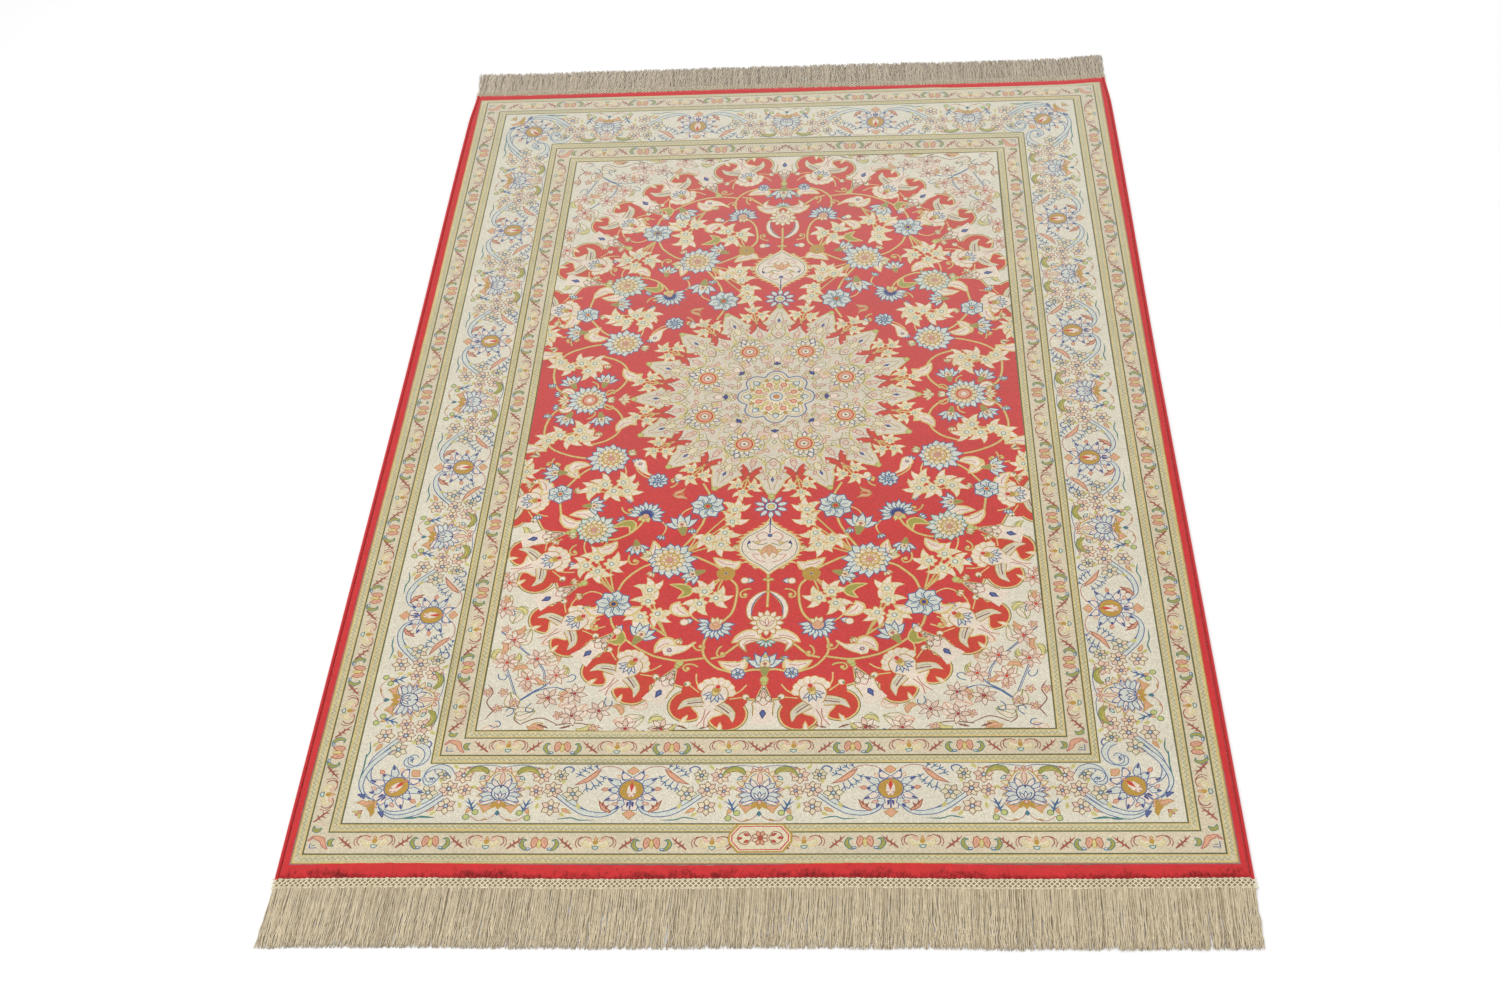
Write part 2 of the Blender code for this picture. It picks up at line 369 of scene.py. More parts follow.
class Pen:
    """Draws motifs on a chart at a spot, turned, sized and mirrored."""

    def __init__(self, chart, spot=0j, turn=1, flip=False):
        self.chart, self.spot, self.turn, self.flip = chart, spot, turn, flip

    def point(self, place):
        """Where a place of the motif falls on the chart."""
        return self.spot + self.turn * (place.conjugate() if self.flip else place)

    def at(self, spot, degrees=0, size=1, flip=False):
        """A pen at a spot of this one's frame."""
        turn = size * heading(degrees)
        turn = turn.conjugate() if self.flip else turn
        return Pen(self.chart, self.point(spot), self.turn * turn, self.flip != flip)

    def halves(self):
        """This pen, and one mirrored across its own line ahead."""
        return self, self.at(0, flip=True)

    def twins(self):
        """This pen, and one mirrored from left to right."""
        return self, Pen(self.chart, self.spot, -self.turn, not self.flip)

    def fill(self, dye, points, zone=0):
        """One shape in one dye."""
        self.chart.lay(dye, [self.point(complex(p)) for p in points], zone)

    def cell(self, edge, dye, points, width=1):
        """A shape with an outline inside its rim."""
        placed = [self.point(complex(p)) for p in points]
        self.chart.lay(edge, placed)
        inner = inset(placed, width)
        if signed_area(inner) * signed_area(placed) > 0:
            self.chart.lay(dye, inner)

    def spray(self, turns, edge, dye, points, width=1, root=0):
        """The same cell in several directions from a root."""
        for turn in turns:
            self.at(root, turn).cell(edge, dye, points, width)

    def line(self, dye, knots, width=1, closed=False, steps=3, ends=(1, 1)):
        """A smooth thread through the knots, of a width that can taper to its ends."""
        line = curve([self.point(complex(k)) for k in knots], closed, steps)
        sides = sideways(line, closed)
        count = len(line)
        rims = []
        for i, (point, side) in enumerate(zip(line, sides)):
            t = i / max(1, count - 1)
            taper = min(1, ends[0] + t * 3, ends[1] + (1 - t) * 3)
            rims.append((point + side * width * taper / 2, point - side * width * taper / 2))
        for i in range(count if closed else count - 1):
            a, b = rims[i], rims[(i + 1) % count]
            self.chart.lay(dye, [a[0], a[1], b[1], b[0]])


# --- Small motifs, which all run out along +x ---
def vine(pen, knots, width=VINE, steps=5):
    """A gold stem with a warm outline."""
    pen.line("amber", knots, width, steps=steps)
    pen.line("gold", knots, width - 1.3, steps=steps)


def curl(pen, radius=7):
    """A stem that rolls into a knob, from its root at the origin."""
    turns = [0j, radius * (0.9+0.15j), radius * (1.75+0.85j), radius * (1.7+1.8j),
             radius * (0.95+1.95j), radius * (0.75+1.35j)]
    vine(pen, turns, 2.6, steps=3)
    pen.cell("amber", "gold", disc(radius * 0.42, 8, radius * (1+1.35j)), 0.7)


def leaf(pen, length, width, bend=0.25, edge="amber", dye="ivory", rib=None):
    """A curved leaf with a hooked tip."""
    spine = curve([0j, length * (0.35 + 0.55j * bend), length * (0.75 + 0.75j * bend),
                   length * (1 + 0.1j * bend)], steps=4)
    pen.fill(edge, blade(spine, (0, 0.44 * width, 0.64 * width, 0.54 * width, 0)))
    pen.fill(dye, blade(spine[1:-1], (0, 0.28 * width, 0.48 * width, 0.36 * width, 0)))
    if rib:
        pen.line(rib, [length * (0.2 + 0.35j * bend), length * (0.5 + 0.66j * bend),
                       length * (0.78 + 0.62j * bend)], FINE)


def rosette(pen, radius, petals=8, edge="blue", dye="ice", eye="olive", heart="red", fat=1):
    """Pointed petals round an eye."""
    width = fat * 2 * radius * math.sin(math.pi / petals)
    for k in range(petals):
        pen.at(0, 360 * (k + 0.5) / petals).cell(edge, dye, petal(radius * 0.86, width, radius * 0.14), 1.3)
        if radius > 14:
            pen.at(0, 360 * (k + 0.5) / petals).line(edge, [0.3 * radius, 0.66 * radius], steps=1)
    pen.cell(edge, eye, disc(radius * 0.28, 8))
    pen.fill(heart, disc(radius * 0.14, 6))


def floret(pen, radius=8.4, edge="amber", dye="cream", eye="white", ring="green", petals=6):
    """A small round flower of a cluster."""
    outline = []
    for k in range(petals):
        middle = heading(360 * k / petals)
        notch = heading(360 * (k + 0.5) / petals)
        outline += [radius * 0.92 * middle * heading(-15), radius * 1.06 * middle,
                    radius * 0.92 * middle * heading(15), radius * 0.68 * notch]
    pen.cell(edge, dye, outline, 1.2)
    pen.cell(ring, eye, disc(radius * 0.36, 7), 0.9)


def cluster(pen, spots, tips=3, edge="gold", dye="cream", radius=9.9, stems=0j):
    """Florets heaped on their stems with leaf tips round them."""
    middle = sum(spots) / len(spots)
    for spot in spots:
        vine(pen, [stems, 0.55 * spot + 0.45 * stems + 2, spot], 2.6, steps=3)
    for i, spot in enumerate(spots):
        out = math.degrees(cmath.phase(spot - middle)) if abs(spot - middle) > 1 else 0
        for k in range(tips):
            turn = out + (k - (tips - 1) / 2) * 58
            tip = [0.5-0.5j, 1.1-0.55j, 1.75-0.1j, 2.15+0.5j, 1.4+0.42j, 0.9+0.5j, 0.5+0.4j]
            pen.at(spot, turn, radius).cell("gold", "cream" if k % 3 == 2 else "ivory", tip, 0.9)
    for i, spot in enumerate(spots):
        floret(pen.at(spot, 37 * i), radius, edge, dye)


def lily(pen, size=1, edge="blue", dye="ice", cup="olive"):
    """A small flower of five sharp petals on a cup."""
    pen = pen.at(0, 0, 1.22 * size)
    pen.spray((64, -64, 32, -32, 0), edge, dye, lance(13.5, 7), 1.2, root=1)
    pen.cell("amber", "cream", disc(3.6, 8, 3), 0.9)
    pen.fill("rose", disc(1.5, 6, 3.5))
    pen.cell("amber", cup, [-7-1.2j, -3.6j, 2, 3.6j, -7+1.2j], 0.9)


def tulip(pen, size=1, edge="amber", dye="peach", heart="red"):
    """A goblet flower with parted lips."""
    pen = pen.at(0, 0, size)
    for side in (1, -1):
        lip = [0j, 4 + side * 5.5j, 12 + side * 7.5j, 17 + side * 10j, 13 + side * 3j, 7]
        pen.cell(edge, dye, lip)
    pen.cell(edge, heart, petal(12, 5, 3))


def round_palmette(pen, radius, petals=16, edge="blue", dye="ice", heart="ivory", core="gold"):
    """A full flower: sharp petals round a second ring and a gold-rimmed heart; its tip runs out along +x."""
    width = 2.5 * radius * math.sin(math.pi / petals)
    for k in range(petals):
        turn = 360 * k / petals
        length = radius * (0.60 if k % 2 else 0.48) * (1 + 0.26 * math.cos(math.radians(turn)))
        pen.at(0, turn).cell(edge, dye, lance(length, width, radius * 0.50), 1.1)
    ring = petals - 4
    for k in range(ring):
        turn = 360 * (k + 0.5) / ring
        pen.at(0, turn).cell("amber", "cream", lance(radius * 0.36, radius * 0.34, radius * 0.36))
    pen.cell("amber", core, disc(radius * 0.44, 14), 1.2)
    for k in range(7):
        pen.at(0, 360 * k / 7).cell("rose", heart, petal(radius * 0.24, radius * 0.20, radius * 0.14), 0.8)
    pen.cell("ochre", "pink", disc(radius * 0.18, 7), 0.9)
    for turn in (26, 0, -26):
        pen.at(-radius * 0.86 + 0j, 180 + turn).cell("olive", "cream", lance(radius * 0.46, radius * 0.28))


def fan_palmette(pen, radius, edge="blue", dye="ice", calyx="straw", heart="navy"):
    """A flower of long petals fanned over a calyx."""
    for turn in (-105, -84, -63, -42, -21, 0, 21, 42, 63, 84, 105):
        pen.at(0, turn).cell(edge, dye, lance(radius * (0.76 if turn % 2 else 0.64), radius * 0.38,
                radius * 0.30), 1.2)
    pen.cell(edge, heart, disc(radius * 0.36, 10))
    pen.spray((150, 180, 210), "amber", calyx, petal(radius * 0.62, radius * 0.34, 0))
    pen.cell("amber", "peach", disc(radius * 0.2, 8, -0.1 * radius + 0j), 0.8)


def eyed_drop(pen, size=1):
    """A drop-shaped bud with a ringed eye and a tail."""
    pen = pen.at(0, 0, 1.15 * size)
    spine = curve([-26-4j, -14+1j, 0j, 9], steps=4)
    pen.fill("gold", blade(spine, (0.9, 2.2, 5.8, 8.2, 4.6)))
    pen.fill("ivory", blade(spine, (0, 0.9, 4.4, 6.8, 3.2)))
    pen.cell("blue", "peach", disc(2.9, 6, 2))


# --- The red field ---
# The scalloped edge's flowers, and the ivory points between them: place, direction outward.
LOBES = ((300+190j, 5), (263+293j, 21), (223+390.5j, 38), (154+460j, 55), (54+501j, 73))
POINTS = ((247+247j, 13), (224+334j, 30), (175+410j, 47), (99+461j, 64), (487j, 90))
RED_CORE = [0j, 322, 322+186j, 302+196j, 280+240j, 266+296j, 248+345j, 227+396j,
            193+432j, 157+464j, 106+486j, 56+505j, 512j]
CURL_SPOTS = (27+23.5j, 27-23.5j)
CURL_RADIUS = 20.5


def red_ground(pen):
    """The red field with its curls beyond the edge flowers, outlined dark and then gold."""
    for dye, grow in (("brown", 3.2), ("gold", 2.2), ("red", 0)):
        pen.fill(dye, inset(RED_CORE, -grow), 1)
        for spot, out in LOBES:
            unit = pen.at(spot, out)
            for curl_spot in CURL_SPOTS:
                unit.fill("scarlet" if dye == "red" else dye, disc(CURL_RADIUS + grow, 26, curl_spot), 1)
    for spot, out in LOBES:
        unit = pen.at(spot, out)
        for side in (1, -1):
            unit.fill("scarlet", disc(15, 12, 4 + side * 24j))


def lobe(pen):
    """An edge flower with its two leaves lying in the red curls."""
    strip = [12+12j, 20+19j, 27.5+18j, 31.5+13j, 35+8.5j, 41+6j, 50+7j]
    pen.fill("ivory", strip + [p.conjugate() for p in strip[::-1]])
    for half in pen.halves():
        half.line("gold", strip[1:6], 1.9)
        half.at(47+21j, 186).cell("gold", "ivory", [-4-3.6j, 3-2.8j, 9+1j, 5+2.4j, -4+3j], 1.2)
        spine = curve([14+3j, 17+11j, 20+20j, 25+28j, 35.5+33j], steps=4)
        half.fill("umber", blade(spine, (6.6, 7.8, 7, 5.2, 0)))
        half.fill("gold", blade(spine, (6, 7.1, 6.3, 4.6, 0)))
        half.fill("pearl", blade(spine, (4.9, 5.8, 5, 3.2, 0)))
        half.line("umber", [17+9j, 20+17j, 24+25j], 1.5)
        half.line("olive", [15+12j, 17+19j, 21+26j], 0.8)
        half.line("gold", [18j, -9+26j, -20+30j], 1.8)
        half.line("gold", [5+18j, -2+33j], 1.6, steps=2)
        half.cell("amber", "ivory", disc(4.6, 8, -3+35j), 1.1)
        half.fill("green", disc(1.6, 5, -2+37j))
    for turn in (108, 132, 156, 180, 204, 228, 252):
        pen.cell("gold", "ivory" if turn % 8 else "cream", disc(6.4, 9, 17.5 * heading(turn) + 1))
    body = curve([-10+10j, 3+16j, 14+12j, 21+4j, 21-4j, 14-12j, 3-16j, -10-10j], closed=True, steps=3)
    pen.cell("amber", "ivory", body, 1.3)
    pen.fill("ivory", [15-7j, 28-6j, 28+6j, 15+7j])
    pen.fill("blush", disc(5.6, 9, -8))
    for turn in (-64, 64, -32, 32, 0):
        pen.at(1, turn).cell("blue", "ice" if turn % 64 else "ivory", lance(15, 6.5), 1.2)
    pen.cell("amber", "straw", [-6-5j, 3-4j, 6, 3+4j, -6+5j], 1.1)
    pen.cell("amber", "ochre", disc(3.6, 8, -3))
    pen.fill("scarlet", disc(3, 7, -8.5))
    for side in (1, -1):
        pen.line("rose", [26 + side * 3j, 40 + side * 1j, 52 + side * 5j], 1.1)


def field_point(pen):
    """An ivory point that reaches into the red between two edge flowers, with a bud at its tip."""
    side = [1, 14+4.5j, 24+8.5j, 30+12.5j, 36+11j, 47+11j]
    pen.fill("ivory", [0j] + side[1:] + [60+14j, 60-14j] + [p.conjugate() for p in side[:0:-1]])
    for half in (side, [p.conjugate() for p in side]):
        pen.line("gold", half, 1.7, steps=2)
        pen.line("umber", [p + (1.6 if p.real > 1 else 1.2) for p in half], 0.7, steps=2)
    for turn, spot in ((30, 30+9j), (-30, 30-9j), (14, 24+3j), (-14, 24-3j)):
        pen.at(spot, 180 + turn).cell("lineolive", "ivory", lance(17, 8))
    pen.at(12).cell("rose", "blush", petal(13, 6.5))
    pen.line("rose", [24+9j, 30+5j, 34, 30-5j, 24-9j], steps=2)
    pen.at(40).cell("navy", "steel", [-1.5j, 5-4j, 13, 5+4j, 1.5j], 1.5)
    pen.cell("amber", "sprout", disc(5.4, 9, -4), 1.2)
    pen.at(1, 0).cell("amber", "sprout", [-5j, 5, 5j, -2])


def field_edge(pen):
    """The edge flowers and points, all the way round the quarter."""
    for spot, out in POINTS:
        field_point(pen.at(spot, out))
    for spot, out in LOBES:
        lobe(pen.at(spot, out))
    bump = pen.at(322+136j, 180)
    cluster(bump.at(2), [12j, -12j, 6], 3, radius=8.5)


VINES = (
    (120+296j, 98+264j, 84+236j, 79+212j),
    (78+203j, 77+184j, 86+163j),
    (124+298j, 150+306j, 170+326j, 178+345j, 182+362j),
    (118+296j, 92+291j, 70+302j, 53+315j),
    (51+322j, 38+338j, 37+360j, 42+382j, 54+398j),
    (62+405j, 71+425j, 70+446j, 56+464j, 33+474j),
    (70+450j, 98+454j, 128+447j, 156+429j, 178+405j, 184+384j, 182+370j),
    (320j, 345j, 372j),
    (424j, 14+416j, 30+428j, 48+446j, 62+451j),
    (470j, 14+468j, 30+474j),
    (154+218j, 162+238j, 178+254j, 198+260j, 214+246j),
    (218+243j, 240+240j, 258+224j, 263+204j, 266+184j),
    (264+176j, 254+158j, 240+140j, 224+128j, 210+118j),
    (208+115j, 238+114j, 264+107j, 286+94j, 298+74j, 300+50j, 292+24j, 274+8j),
    (246+2j, 216+14j, 200+36j, 201+62j, 216+80j, 240+90j),
    (252+140j, 262+139j, 272+141j),
    (120+412j, 132+405j, 141+396j),
)
CURLS = (
    (20+343j, 0, 6), (84+426j, 90, 6), (50+432j, 40, 6), (169+286j, 70, 6.5),
    (196+390j, 20, 6.5), (186+204j, 100, 6), (223+158j, 60, 6), (76+463j, -40, 6),
    (298+130j, 160, 6), (128+170j, 200, 6), (103+338j, 200, 6), (281+112j, 60, 6),
    (236+268j, 30, 6), (206+274j, 210, 6), (226+10j, 100, 5), (246+37j, 200, 6),
)
CLUSTERS = (
    # place, root of its stems and florets, all about the place
    (54+240j, 49+47j, (-10-29j, -7-8j, 1+11j, 5+31j, 21+21j)),
    (266+72j, -31-14j, (-20+2j, -12-13j, -2+3j, 13-4j, 27+6j)),
    (206+170j, -29+17j, (-24+5j, -18-10j, -7+5j, 5-7j, 18+2j)),
    (205+302j, -22+47j, (-15-1j, 4-12j, 1+11j, 16+1j)),
    (138+366j, -23+52j, (2-21j, 3-3j, -10+17j, 10+21j)),
    (71+358j, -20-38j, (4-10j, -10, 9+9j)),
)


def field_flowers(pen):
    """The vines and flowers that fill the red field."""
    for knots in VINES:
        vine(pen, knots)
    field_fillers(pen)
    for spot, turn, radius in CURLS:
        curl(pen.at(spot, turn, 1.15), radius)
    for spot, root, spots in CLUSTERS:
        cluster(pen.at(spot), spots, stems=root)
    for spot, turn, length, bend in (
            (68+292j, 172, 26, -0.4), (178+350j, 150, 28, -0.6), (186+350j, 30, 28, 0.6),
            (142+262j, 60, 24, 0.6), (40+428j, 185, 26, 0.4), (262+214j, 160, 24, -0.5),
            (88+386j, -60, 20, 0.5), (298+150j, 100, 22, 0.5), (244+151j, -75, 22, 0.4),
            (251+217j, 150, 24, 0.5), (292+98j, 20, 28, -0.5), (232+127j, 40, 20, -0.6),
            (206+64j, 200, 22, 0.6), (186+262j, 20, 20, 0.5), (54+455j, 190, 24, -0.5),
            (128+443j, 200, 20, 0.5)):
        leaf(pen.at(spot, turn), 1.35 * length, 14, bend, "gold", "ivory", "pink")
    for spot, turn in ((118+336j, 110), (196+240j, 150), (176+400j, 60)):
        leaf(pen.at(spot, turn), 26, 10, 0.9, "gold", "leaf")
    for spot, turn, size in (
            (108+242j, -80, 1.5), (86+318j, 20, 1.25), (272+140j, 0, 1.3), (162+270j, 100, 1.1),
            (228+34j, 100, 1.2), (272+32j, 60, 1.2), (226+201j, 180, 1.2), (148+420j, -120, 1.4)):
        lily(pen.at(spot, turn), size)
    lily(pen.at(466j, -90), 1.5)
    tulip(pen.at(124+184j, 190), 1.1)
    tulip(pen.at(300+108j, -30), 0.8, "amber", "cream", "blue")
    eyed_drop(pen.at(108+438j, 15))
    eyed_drop(pen.at(168+128j, -60, 0.9))
    for spot, turn in ((96+396j, 200), (174+410j, -120), (28+330j, 180), (118+150j, 80)):
        tip = pen.at(spot, turn)
        tip.cell("blue", "ice", petal(16, 10, -4), 1.1)
        tip.cell("amber", "ivory", disc(5.5, 9))
    rosette(pen.at(78.5+204j, 8), 23, 8)
    rosette(pen.at(182+367j, 12), 23, 8, eye="ochre", heart="navy")
    rosette(pen.at(266+179j, 0), 17.5, 6, eye="straw", heart="scarlet")
    rosette(pen.at(144+157j, 15), 14.5, 9, eye="ice", heart="steel")
    rosette(pen.at(51+319j, 20), 12, 5, "amber", "ochre", "straw", "navy", 1.25)
    rosette(pen.at(30+474j, 0), 9, 7, "steel", "ice", "cream", "green", 1.25)
    round_palmette(pen.at(208+115j, 20), 27)
    round_palmette(pen.at(217+243j, 200), 25, 16, "teal", core="straw")
    round_palmette(pen.at(120+296j, 160), 28)
    fan_palmette(pen.at(154.5+218j, -105), 24)
    fan_palmette(pen.at(59.5+401j, 80), 23, heart="peach", calyx="cream")


TENDRILS = (
    (120+296j, 102+282j, 92+262j, 96+248j), (182+367j, 196+352j, 210+346j, 222+352j),
    (154+218j, 138+226j, 128+240j, 132+254j), (208+115j, 192+126j, 186+142j, 190+154j),
    (182+367j, 166+374j, 152+384j, 146+398j), (59+401j, 76+396j, 88+386j, 90+372j),
    (217+243j, 226+262j, 224+280j, 214+290j), (51+319j, 40+306j, 28+300j, 18+304j),
    (246, 262+14j, 276+18j, 288+14j), (266+179j, 280+170j, 292+158j, 304+160j),
    (78+203j, 96+206j, 108+214j, 112+226j), (78+203j, 64+212j, 50+214j, 38+208j),
    (144+157j, 160+150j, 172+138j, 174+124j),
)
SEEDS = (
    (96+246j, 90), (223+353j, 20), (133+256j, 70), (190+156j, 80), (145+400j, 110), (90+370j, -90),
    (213+291j, 120), (17+305j, 150), (289+13j, -10), (306+161j, 20), (112+228j, 80), (36+207j, 200),
    (174+122j, -80), (100+424j, 60), (20+452j, 30), (140+318j, 60), (236+302j, 10), (234+330j, 200),
    (212+372j, 60), (120+392j, -30), (290+218j, 90), (262+262j, 60), (184+226j, -40), (246+174j, 200),
    (176+190j, 30), (228+66j, 90), (300+28j, 90), (40+274j, 100),
)


def field_fillers(pen):
    """Thin tendrils and small buds between the flowers."""
    for knots in TENDRILS:
        pen.line("gold", knots, 1.9, steps=4, ends=(1, 0.5))
    for k, (spot, turn) in enumerate(SEEDS):
        bud = pen.at(spot, turn)
        for bend in (38, -38, 0):
            bud.at(-2, bend).cell("amber" if k % 2 else "blue", "ivory" if k % 2 else "ice",
                    lance(9.5, 6), 1.1)
        bud.fill("olive", disc(2, 6, -2))


def side_palmette(pen):
    """The large lotus on the cross axis, with a fleuron at each side."""
    for half in pen.halves():
        leaf(half.at(18+4j, 20), 26, 10, 0.5, "amber", "ivory", "pink")
    for start in (-42, 30):
        for turn in (-60, -30, 0, 30, 60):
            pen.at(start, turn + (180 if start < 0 else 0)).cell("amber", "cream", petal(15, 6))
        pen.cell("amber", "blush", disc(4, 8, start))
    round_palmette(pen, 27, 18, "blue", "ice", "ivory", "peach")
    pen.cell("scarlet", "peach", disc(10, 12), 1.8)
    pen.cell("pink", "ivory", disc(5, 8))


def pendant(pen):
    """The ogee pendant on the long axis, with its flower above and split leaves below; +y runs out."""
    up = pen.at(206j, 90)
    for turn in range(0, 360, 36):
        up.at(0, turn).cell("blue", "ice", petal(15, 8, 7))
    up.cell("navy", "ice", disc(9, 10), 1.6)
    up.cell("amber", "straw", disc(5, 8), 1.2)
    pen.cell("amber", "sprout", disc(5, 8, 190j))
    right = [222j, 3+230j, 10+240j, 24+250j, 34+260j, 38+274j, 35+288j, 26+299j, 14+308j, 5+316j, 322j]
    outline = curve(right, steps=2)
    whole = outline + [-p.conjugate() for p in outline[-2:0:-1]]
    for side in (1, -1):
        for p in outline[3:-4]:
            tip = complex(side * p.real, p.imag)
            pen.fill("gold", [tip + side * 5.2, tip - side * 2 + 2.6j, tip - side * 2 - 2.6j])
    pen.cell("gold", "ivory", whole, 2)
    inner = inset(whole, 4.4)
    pen.line("green", inner[::2], closed=True, steps=2)
    pen.line("navy", [226j, 252j], 1.3, steps=2)
    for half in pen.twins():
        half.line("rose", [256j, 8+250j, 16+256j, 12+264j, 4+262j], 1.1)
        half.line("green", [2+268j, 12+272j, 20+266j, 27+271j, 22+280j, 12+279j], 1.1)
        half.line("pink", [4+300j, 14+296j, 20+287j, 12+288j], 1.1)
        half.line("amber", [3+278j, 9+288j, 4+294j], 1.1)
        half.fill("navy", [25+263j, 28+270j, 23+269j])
        half.at(10+266j, 20).cell("amber", "straw", petal(9, 5), 0.9)
        half.at(7+284j, -30).cell("amber", "straw", petal(10, 5), 0.9)
        half.cell("amber", "ivory", blade(curve([346j, 9+352j, 17+362j, 21+374j, 20+388j, 13+394j],
                steps=3), (0.5, 3.4, 4.6, 4, 2.6, 0)), 1.2)
        half.line("steel", [4+350j, 13+360j, 18+372j, 18+384j], 1.3)
        leaf(half.at(3+424j, 50), 26, 8, -0.8, "amber", "ivory", "pink")
    pen.cell("navy", "steel", disc(3.2, 7, 256j))
    pen.spray((60, 90, 120), "amber", "peach", petal(22, 8), root=270j)
    pen.spray((15, 90, 165, 270), "amber", "sprout", petal(8, 5), 0.9, root=327j)
    flower = pen.at(397j, -90)
    flower.spray((-120, -90, -60, -30, 0, 30, 60, 90, 120, 150, 180, 210), "amber", "ivory", petal(13, 8, 8))
    flower.cell("amber", "cream", disc(12.5, 12))
    flower.spray((-40, 0, 40), "rose", "ivory", petal(15, 5), 0.9, root=-6)
    small = pen.at(427j, 90)
    small.spray((-70, -35, 0, 35, 70), "teal", "ice", petal(12, 5.5, 1), root=-3)
    for spot in (330j, 448j):
        pen.cell("amber", "gold", disc(3, 7, spot), 0.8)


# --- The corners beyond the red field ---
STARS = (
    (185, 527), (215, 503), (244.5, 509), (215, 534.5), (239, 476), (263.5, 450), (271, 481), (294, 420.5),
    (298, 455), (113, 552), (153, 552), (312, 372), (312, 330),
)


def corner_ground(pen):
    """The ivory corner: star flowers on blue and brown branches, with outlined leaves."""
    branch = 277+514j
    for knots in (
            (branch, 262+500j, 250+492j, 240+480j), (branch, 258+499j, 236+494j, 217+503j),
            (250+492j, 253+470j, 264+452j), (264+452j, 280+438j, 292+424j, 310+408j),
            (280+508j, 288+486j, 298+460j)):
        pen.line("blue", knots, 1.1, steps=4)
        pen.line("steel", [k + 1.8 for k in knots], 0.8, steps=4)
    for knots in (
            (branch, 277+528j, 279+540j, 270+548j), (277+526j, 292+522j, 304+528j, 312+540j),
            (270+546j, 250+538j, 228+548j), (232+548j, 205+545j, 178+552j),
            (304+528j, 313+514j, 308+500j, 315+488j)):
        pen.line("umber", knots, 1.4, ends=(1.2, 0.4), steps=5)
    for spot, turn, length, dye in (
            (256+528j, 10, 24, "olive"), (232+522j, 200, 20, "peach"), (288+500j, 100, 22, "olive"),
            (200+517j, 60, 20, "peach"), (282+462j, 120, 20, "olive"), (252+462j, 230, 18, "peach"),
            (305+437j, 80, 20, "peach"), (276+404j, 60, 26, "olive"), (262+428j, 200, 22, "peach"),
            (132+535j, 20, 26, "olive"), (168+540j, 160, 22, "peach"), (300+396j, 250, 20, "olive"),
            (306+350j, 60, 20, "olive"), (296+548j, 40, 18, "peach"), (150+522j, 200, 20, "peach"),
            (236+440j, 30, 20, "olive")):
        tip = pen.at(spot, turn)
        for bend in (0.5, -0.35):
            spine = curve([0j, length * (0.4 + 0.4j * bend), length * (0.8 + 0.6j * bend), length + 0j],
                    steps=4)
            tip.cell(dye, "ivory", blade(spine, (0, 3, 4, 3, 0)))
    for spot, turn in (
            (262+517j, 30), (288+536j, 200), (306+472j, 90), (226+486j, 180), (178+508j, 60),
            (132+554j, 10), (300+384j, 250), (306+548j, 140)):
        pen.at(spot, turn).line("blue", [0j, 7+2j, 10+8j, 5+11j, 1+8j], 1.2)
    for spot, turn, ripe in (
            (246+545j, 20, 1), (262+552j, 170, 1), (192+545j, 30, 0), (172+520j, 140, 1),
            (128+545j, 200, 0), (232+460j, 80, 0), (250+440j, 130, 1), (286+440j, 60, 0),
            (308+424j, 100, 1), (284+398j, 40, 1), (300+372j, 150, 0), (314+350j, 80, 1),
            (312+300j, 120, 0), (300+316j, 60, 1), (314+262j, 70, 1), (308+236j, 110, 0),
            (228+516j, 250, 1), (248+486j, 330, 1), (290+470j, 200, 1), (312+452j, 260, 0),
            (96+545j, 20, 0), (70+548j, 160, 1), (40+549j, 10, 0), (204+488j, 200, 0)):
        edge, dye = ("amber", "peach") if ripe else ("olive", "straw")
        hook = pen.at(spot, turn)
        spine = curve([0j, 7+4j, 14+3j, 18-2j], steps=3)
        hook.fill(edge, blade(spine, (0.5, 3.4, 3.8, 0.6)))
        hook.fill(dye, blade(spine, (0, 2.2, 2.6, 0)))
        hook.line(edge, [2+5j, 8+9j, 15+9j], 1.1, steps=2)
    for spot, turn in (
            (270+494j, 0), (246+512j, 20), (282+516j, 50), (296+500j, 10), (188+552j, 0), (306+404j, 40),
            (318+318j, 10), (314+500j, 30), (300+524j, 0), (230+534j, 15)):
        bud = pen.at(spot, turn)
        for k in range(5):
            bud.at(0, 72 * k).cell("rose", "blush", petal(6, 4.6, 1), 0.9)
        bud.fill("gold", disc(1.8, 6))
    for i, (x, y) in enumerate(STARS):
        flower = pen.at(complex(x, y), 17 * i)
        low = y > 500
        for k in range(7):
            flower.at(0, 360 * k / 7).cell("umber" if low else "rust", "ivory" if k % 2 else "blush",
                    lance(13.5, 7.6, 2.2), 0.75)
        flower.fill("crimson" if low else "scarlet", disc(2.4, 7))
    for k in range(9):
        if k not in (4, 5, 6):
            sprig(pen.at(38 + 26 * k + 550j, 20 if k % 2 else 160), "umber", 0.7)


def sprig(pen, dye="rust", size=1):
    """A barbed twig."""
    pen = pen.at(0, 0, size)
    pen.line(dye, [-9, 1j, 10], 2.2, steps=2, ends=(0.4, 0.4))
    for spot, side in ((-3, 1), (2, -1), (5, 1)):
        pen.fill(dye, [complex(spot, 0), complex(spot + 2.5, 0), complex(spot - 3, side * 4.5)])


# --- The medallion ---
# One part of its rim and of its centre's: distance from the middle, degrees from the part's own axis.
STAR_OUTLINE = (
    (159, -5.4), (171, -3.7), (184, -1.1), (184, 1.1), (171, 3.7), (159, 5.4), (155, 7.4), (150, 9.25),
    (150, 13.25), (155, 15.1),
)
CENTRE_OUTLINE = ((46.5, -16), (51, -7), (51, 7), (46.5, 16), (42, 22.5))


def scallops(outline, count):
    """One part of an outline, repeated round the middle."""
    return [reach * heading(360 / count * k + turn) for k in range(count) for reach, turn in outline]


